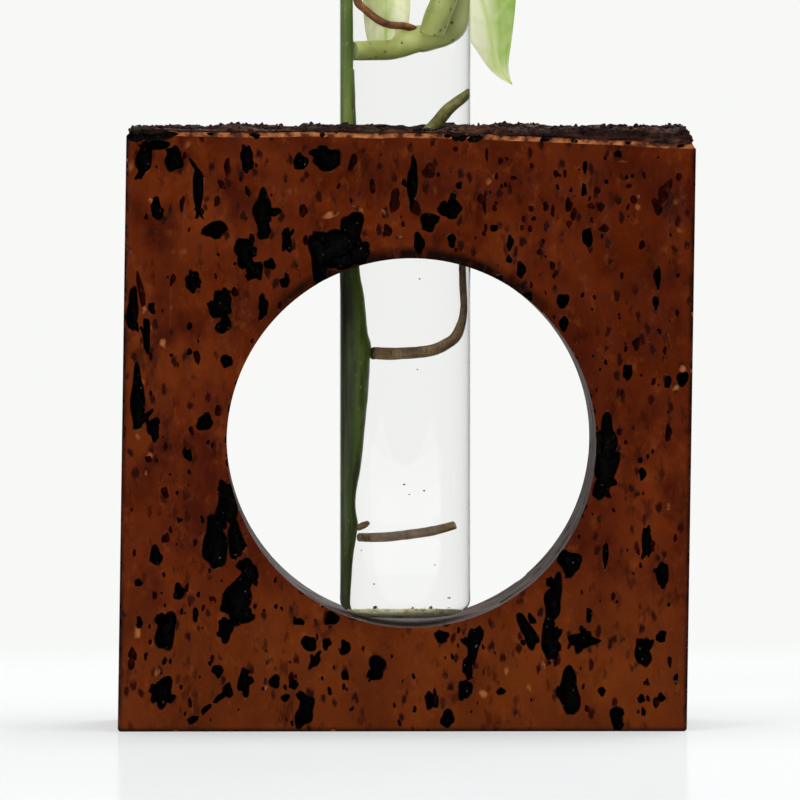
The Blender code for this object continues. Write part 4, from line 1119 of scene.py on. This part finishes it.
wall_x = at_wall(root_depth, middle_root_radius * 0.6)
root_x, root_z = stem_face(1.43), middle_level - 1.2
middle_knots = [(root_x, 0.0, root_z, 1), (root_x + 1.6, 0.5 * root_depth, root_z - 0.1, 1)]
middle_knots += [(share * wall_x, root_depth, root_z + climb * 26, thick) for share, climb, thick in (
    (-0.09, -0.004, 0.96), (0.33, 0.015, 0.90), (0.55, 0.06, 0.84), (0.735, 0.14, 0.72), (0.84, 0.31, 0.56),
    (0.82, 0.54, 0.52), (0.79, 1.0, 0.35),
)]
rod("middle_root", middle_root_radius, middle_knots, root_brown, "middle_root")
root_x, root_z = stem_face(0.93), lower_level - 1.8
rod("lower_root", lower_root_radius, [
    (root_x, 0.0, root_z, 0.9), (root_x + 3, 0.5 * root_depth, root_z, 1), (-0.9, root_depth, root_z + 0.3, 1),
    (3.4, root_depth, root_z + 1.1, 1), (tube_reach - 4.2, root_depth, root_z + 2.3, 0.85),
], root_brown, "lower_root")
upper_knots = [(stem_face(1.05), 0.0, upper_level, 0.9)]
upper_knots += [(x, depth * upper_depth, upper_level + climb * upper_climb, thick) for x, depth, climb, thick in (
    (-3.6, 0.5, 0.08, 1), (0.6, 1, 0.30, 1), (4.0, 1, 0.59, 1), (6.2, 1, 0.81, 1),
    (at_wall(upper_depth, upper_root_radius) - 0.4, 1, 1, 0.85),
)]
rod("upper_root", upper_root_radius, upper_knots, root_olive, "upper_root", lumps=0.08)
bud_x, bud_y, bud_z = stem_face(0.93), -root_depth / 2, lower_level + 0.1
rod("stem_bud", bud_radius, [
    (bud_x - 0.5, bud_y, bud_z - 0.2, 0.9), (bud_x + 0.7, bud_y, bud_z + 0.5, 1),
    (bud_x + 1.4, bud_y, bud_z + 1.1, 0.5),
], root_brown, "stem_node_bud", 14, 0.2)


# The side shoot: a thick pale branch that leaves the stem above the block, runs across the tube and
# turns up along its right wall. A stalk and an orange-brown air root start at its first node.
shoot_radius = 1.95
shoot_depth = 3.4
shoot_walk = 7.0
shoot_top = tube_length + 3
aerial_radius = 0.75
stalk_radius = 2.1
stalk_front = 0.9

shoot_green = noise_skin("shoot_green", (160, 3, 0.5, (1, 1, 0.6)), [
    (0.32, (0.26, 0.30, 0.060)), (0.5, (0.42, 0.46, 0.130)), (0.7, (0.58, 0.62, 0.24)),
], ((900, 3), 0.4, 0.0002), [
    (object_cells, (700, (1, 1, 0.7)), (0.20, 0.12), (0.13, 0.15, 0.040)),
], Specular_IOR_Level=0.4, Roughness=0.38)
shoot_knots = [(stem_face(0.77) - 0.2, 0.4 * shoot_depth, shoot_level - 0.1, 0.95)]
shoot_knots += [(x, depth * shoot_depth, shoot_level + z, thick) for x, depth, z, thick in (
    (-4.5, 0.8, 0.0, 1.0), (-2.1, 0.95, 0.1, 1.0), (-0.6, 1.0, 0.6, 1.04), (1.0, 1.0, 1.9, 1.36),
    (2.8, 1.0, 2.4, 1.36), (5.2, 1.0, 3.1, 1.06), (6.37, 1.0, 4.9, 0.95), (6.86, 1.0, 7.8, 0.90),
    (7.0, 1.0, 13.0, 0.88),
)]
shoot_knots += [(shoot_walk, shoot_depth, tube_length - 6, 0.86), (shoot_walk, shoot_depth, shoot_top, 0.84)]
rod("shoot", shoot_radius, shoot_knots, shoot_green, "side_shoot", 24, 0.6, 0.05, 300.0)
side_x, node_z = stem_face(0.8) + aerial_radius, shoot_level + 5
aerial_knots = [(x, depth * shoot_depth, node_z + z, thick) for x, depth, z, thick in (
    (1.5, 0.8, -1.3, 1), (0.2, 0.4, -0.4, 1), (-2.2, 0.4, -0.1, 1), (-3.8, 0.4, 0.9, 0.95), (-5.4, 0.45, 2.6, 0.9),
    (side_x, 0.6, 4.8, 0.85), (side_x + 0.4, 0.9, 11, 0.6),
)]
air_brown = root_skin("air_root", (0.060, 0.020, 0.004), (0.22, 0.072, 0.014), (0.42, 0.18, 0.050))
rod("air_root", aerial_radius, aerial_knots, air_brown, "aerial_root", 14)
side_x = reach - stalk_radius - 2.5
stalk_knots = [
    (3.9, 0.0, shoot_level + 3.4, 0.9), (4.8, -stalk_front, shoot_level + 6.5, 1),
    (6.0, -stalk_front, shoot_level + 10.5, 1), (side_x, -stalk_front, shoot_level + 18, 0.92),
    (side_x, -stalk_front, tube_length - 4, 0.80), (side_x + 3, -stalk_front - 0.2, tube_length + 8, 0.66),
    (side_x + 9, -1.4, tube_length + 18, 0.5),
]
rod("shoot_stalk", stalk_radius, stalk_knots, shoot_green, "shoot_petiole", 20, 0.6, 0.04, 300.0)


# The leaves: heart-shaped blades, thin and waxy, cream to lime with greener veins and edges. A young
# one stands inside the tube, one hangs over the rim, and two more stand well above it.
leaf_thickness = 0.6
leaf_rows, leaf_columns = 60, 22


def leaf_skin(name, shades, vein_shade, green_side=None):
    """Cream and lime with greener patches; the midrib and the side veins come from the blade's own map.

    green_side holds the two places across the blade between which it turns leaf green.
    """
    made, tree, shader = surface(
        name, Specular_IOR_Level=0.45, Roughness=0.36, Subsurface_Weight=0.12, Subsurface_Scale=1.0,
        Subsurface_Radius=(0.001, 0.001, 0.0004),
    )
    colour = ramp(tree, object_noise(tree, 85, 4, 0.55), list(zip((0.34, 0.46, 0.60, 0.75), shades)))
    if green_side:
        x, y, z = object_axes(tree)
        beyond, above = spread(tree, x, *green_side), spread(tree, z, 0.121, 0.129)
        patchy = spread(tree, object_noise(tree, 110, 3), 0.36, 0.55, 0.6, 1.0)
        colour = coated(tree, colour, (masked(tree, beyond, above, patchy), (0.27, 0.49, 0.016)))
    veins = node(tree, "ShaderNodeAttribute", attribute_name="vein").outputs["Fac"]
    dress(tree, shader, coated(tree, colour, (veins, vein_shade)), [(object_noise(tree, 1300, 3), 0.3, 0.0002)])
    return made


cream_shades = [(0.40, 0.56, 0.070), (0.66, 0.78, 0.26), (0.84, 0.88, 0.52), (0.90, 0.91, 0.66)]
pale_shades = [(0.66, 0.76, 0.28), (0.84, 0.88, 0.50), (0.91, 0.92, 0.66), (0.93, 0.93, 0.74)]
leaf_cream = leaf_skin("leaf_cream", cream_shades, (0.46, 0.60, 0.15))
leaf_pale = leaf_skin("leaf_pale", pale_shades, (0.58, 0.72, 0.26))
leaf_sided = leaf_skin("leaf_sided", pale_shades, (0.66, 0.76, 0.30), (0.0158, 0.0184))


def leaf(name, skin, base, tip, face, width, cup, bulge, replaced, hook=0.0, shoulder=0.6):
    """A blade from base to tip: heart-shaped, folded along its midrib, arched, with raised veins.

    Sizes are in millimetres. The cup bends it along its length, the bulge and the hook sideways.
    """
    rows, half_columns = leaf_rows, leaf_columns
    base, tip = base * MM + foot, tip * MM + foot
    width, cup, bulge, hook = width * MM, cup * MM, bulge * MM, hook * MM
    along = tip - base
    length = along.length
    along.normalize()
    side = along.cross(Vector(face)).normalized()
    normal = side.cross(along)
    bm = bmesh.new()
    vein_layer = bm.verts.layers.float.new("vein")
    sheets = []
    for level in (0.5, -0.5):
        sheet = []
        for i in range(rows + 1):
            u = i / rows
            half = width / 2 * math.sin(math.pi * u ** shoulder) ** 0.9 if 0 < i < rows else 0.0
            strip = []
            for j in range(-half_columns, half_columns + 1):
                across = j / half_columns
                lobe = -0.22 * length * abs(across) ** 1.5 * math.exp(-6 * u)
                arch = cup * math.sin(math.pi * u) - 0.22 * half * (1 - abs(across)) - 0.12 * cup * across ** 2
                sideways = half * across + bulge * math.sin(math.pi * u) - hook * max(0.0, 10 * u - 9) ** 2
                spine = math.exp(-((across * half / (0.5 * MM)) ** 2))
                slant = (u * length + 0.75 * abs(across) * half) / (0.11 * length)
                branch = math.exp(-(((slant - round(slant)) / 0.09) ** 2)) * (0.25 + 0.5 * (1 - abs(across)))
                ripple = 0.15 * MM * noise.noise(Vector((u * 9, across * 4, length * 1000)))
                edge = min(1.0, 4 * (1 - abs(across)) + 0.1) * min(1.0, 14 * u * (1 - u) + 0.1)
                thick = leaf_thickness * MM * (0.45 + 0.40 * edge + 0.15 * max(spine, branch))
                place = base + along * (u * length + lobe * math.sin(math.pi * min(1.0, 3 * u)))
                v = bm.verts.new(place + side * sideways + normal * (arch + ripple * min(1.0, u * 8) + level * thick))
                v[vein_layer] = min(1.0, max(spine, 0.8 * branch))
                strip.append(v)
            sheet.append(strip)
        sheets.append(sheet)
    for sheet, turn in zip(sheets, (1, -1)):
        for low, high in zip(sheet, sheet[1:]):
            for a, b, c, d in zip(low, low[1:], high[1:], high):
                bm.faces.new((a, b, c, d)[::turn])
    top, bottom = sheets
    border = [(i, 0) for i in range(rows)] + [(rows, j) for j in range(2 * half_columns)]
    border += [(i, 2 * half_columns) for i in range(rows, 0, -1)] + [(0, j) for j in range(2 * half_columns, 0, -1)]
    for (i, j), (k, m) in zip(border, border[1:] + border[:1]):
        bm.faces.new((top[i][j], top[k][m], bottom[k][m], bottom[i][j]))
    bmesh.ops.remove_doubles(bm, verts=bm.verts, dist=0.02 * MM)
    bmesh.ops.recalc_face_normals(bm, faces=bm.faces)
    mesh = mesh_from(bm, name)
    mesh.shade_smooth()
    mesh.materials.append(skin)
    made = add_object(name, mesh)
    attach(made, "cutting")
    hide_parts(replaced)
    return made


young_base = Vector((-2.2, shoot_depth + shoot_radius + leaf_thickness, shoot_level + 0.8))
young_tip = young_base + Vector((0.4, 1.6, 26.0))
leaf("young_blade", leaf_pale, young_base, young_tip, (0, -1, 0), 5.6, 0.3, 0.0, "young_leaf", 0.0, 0.62)
upright_base = Vector((side_x + 9.4, -1.5, tube_length + 18.7))
upright_tip = upright_base + Vector((0.62, -0.20, 0.60)) * 50.0
leaf("upright_blade", leaf_cream, upright_base, upright_tip, (-0.3, -1, 0.5), 32.0, 4, 2, "upright_leaf")
hanging_y = tube_radius / MM + 4.8
hanging_tip = Vector((tube_radius / MM + 6.6, hanging_y, block_top_in_tube + 6.5))
hanging_drop = Vector((-0.31, 0, 0.95)).normalized()
hanging_base = hanging_tip + hanging_drop * 53.0
hanging_face = (0.12, -1, 0.05)
leaf("hanging_blade", leaf_sided, hanging_base, hanging_tip, hanging_face, 21.0, -2.5, -2.3, "hanging_leaf", 1.9)
top_start = stem_end + Vector((0, 0, seat_gap))
top_base = top_start + Vector((-7.9, 3.1, 15.6))
top_tip = top_base + Vector((-0.62, 0.16, 0.52)).normalized() * 46.0
leaf("top_blade", leaf_cream, top_base, top_tip, (0.45, -0.9, 0.55), 30.0, 4, -2, "top_leaf")


# The leaf stalks over the rim: thin green stalks that carry the hanging leaf and the topmost leaf.
petiole_radius = 1.0
crest = tube_length + 9.5
seat = hanging_base + hanging_drop * (seat_gap + 0.3)
hanging_knots = [
    (shoot_walk, shoot_depth, shoot_top + seat_gap, 1.1), (shoot_walk, shoot_depth + 0.6, tube_length + 6.2, 1),
    (shoot_walk - 1.2, 0.5 * (shoot_depth + hanging_y), crest, 1),
    (0.5 * (shoot_walk + seat.x), hanging_y - 1.6, crest + 0.4, 0.95),
    (seat.x - 0.4, hanging_y - 0.2, 0.5 * (crest + seat.z) + 1.2, 0.9), (*seat, 0.7),
]
top_knots = [(*(top_start + Vector(shift)), thick) for *shift, thick in (
    (0, 0, 0, 1.15), (-0.8, 0.6, 5, 1), (-3.6, 1.6, 10.5, 0.9), (-7.5, 3.0, 15, 0.7),
)]
for name, knots, replaced in (
    ("hanging_stalk", hanging_knots, "hanging_petiole"), ("top_stalk", top_knots, "top_petiole"),
):
    rod(name, petiole_radius, knots, shoot_green, replaced, 18, 0.5, 0.05, 400.0)
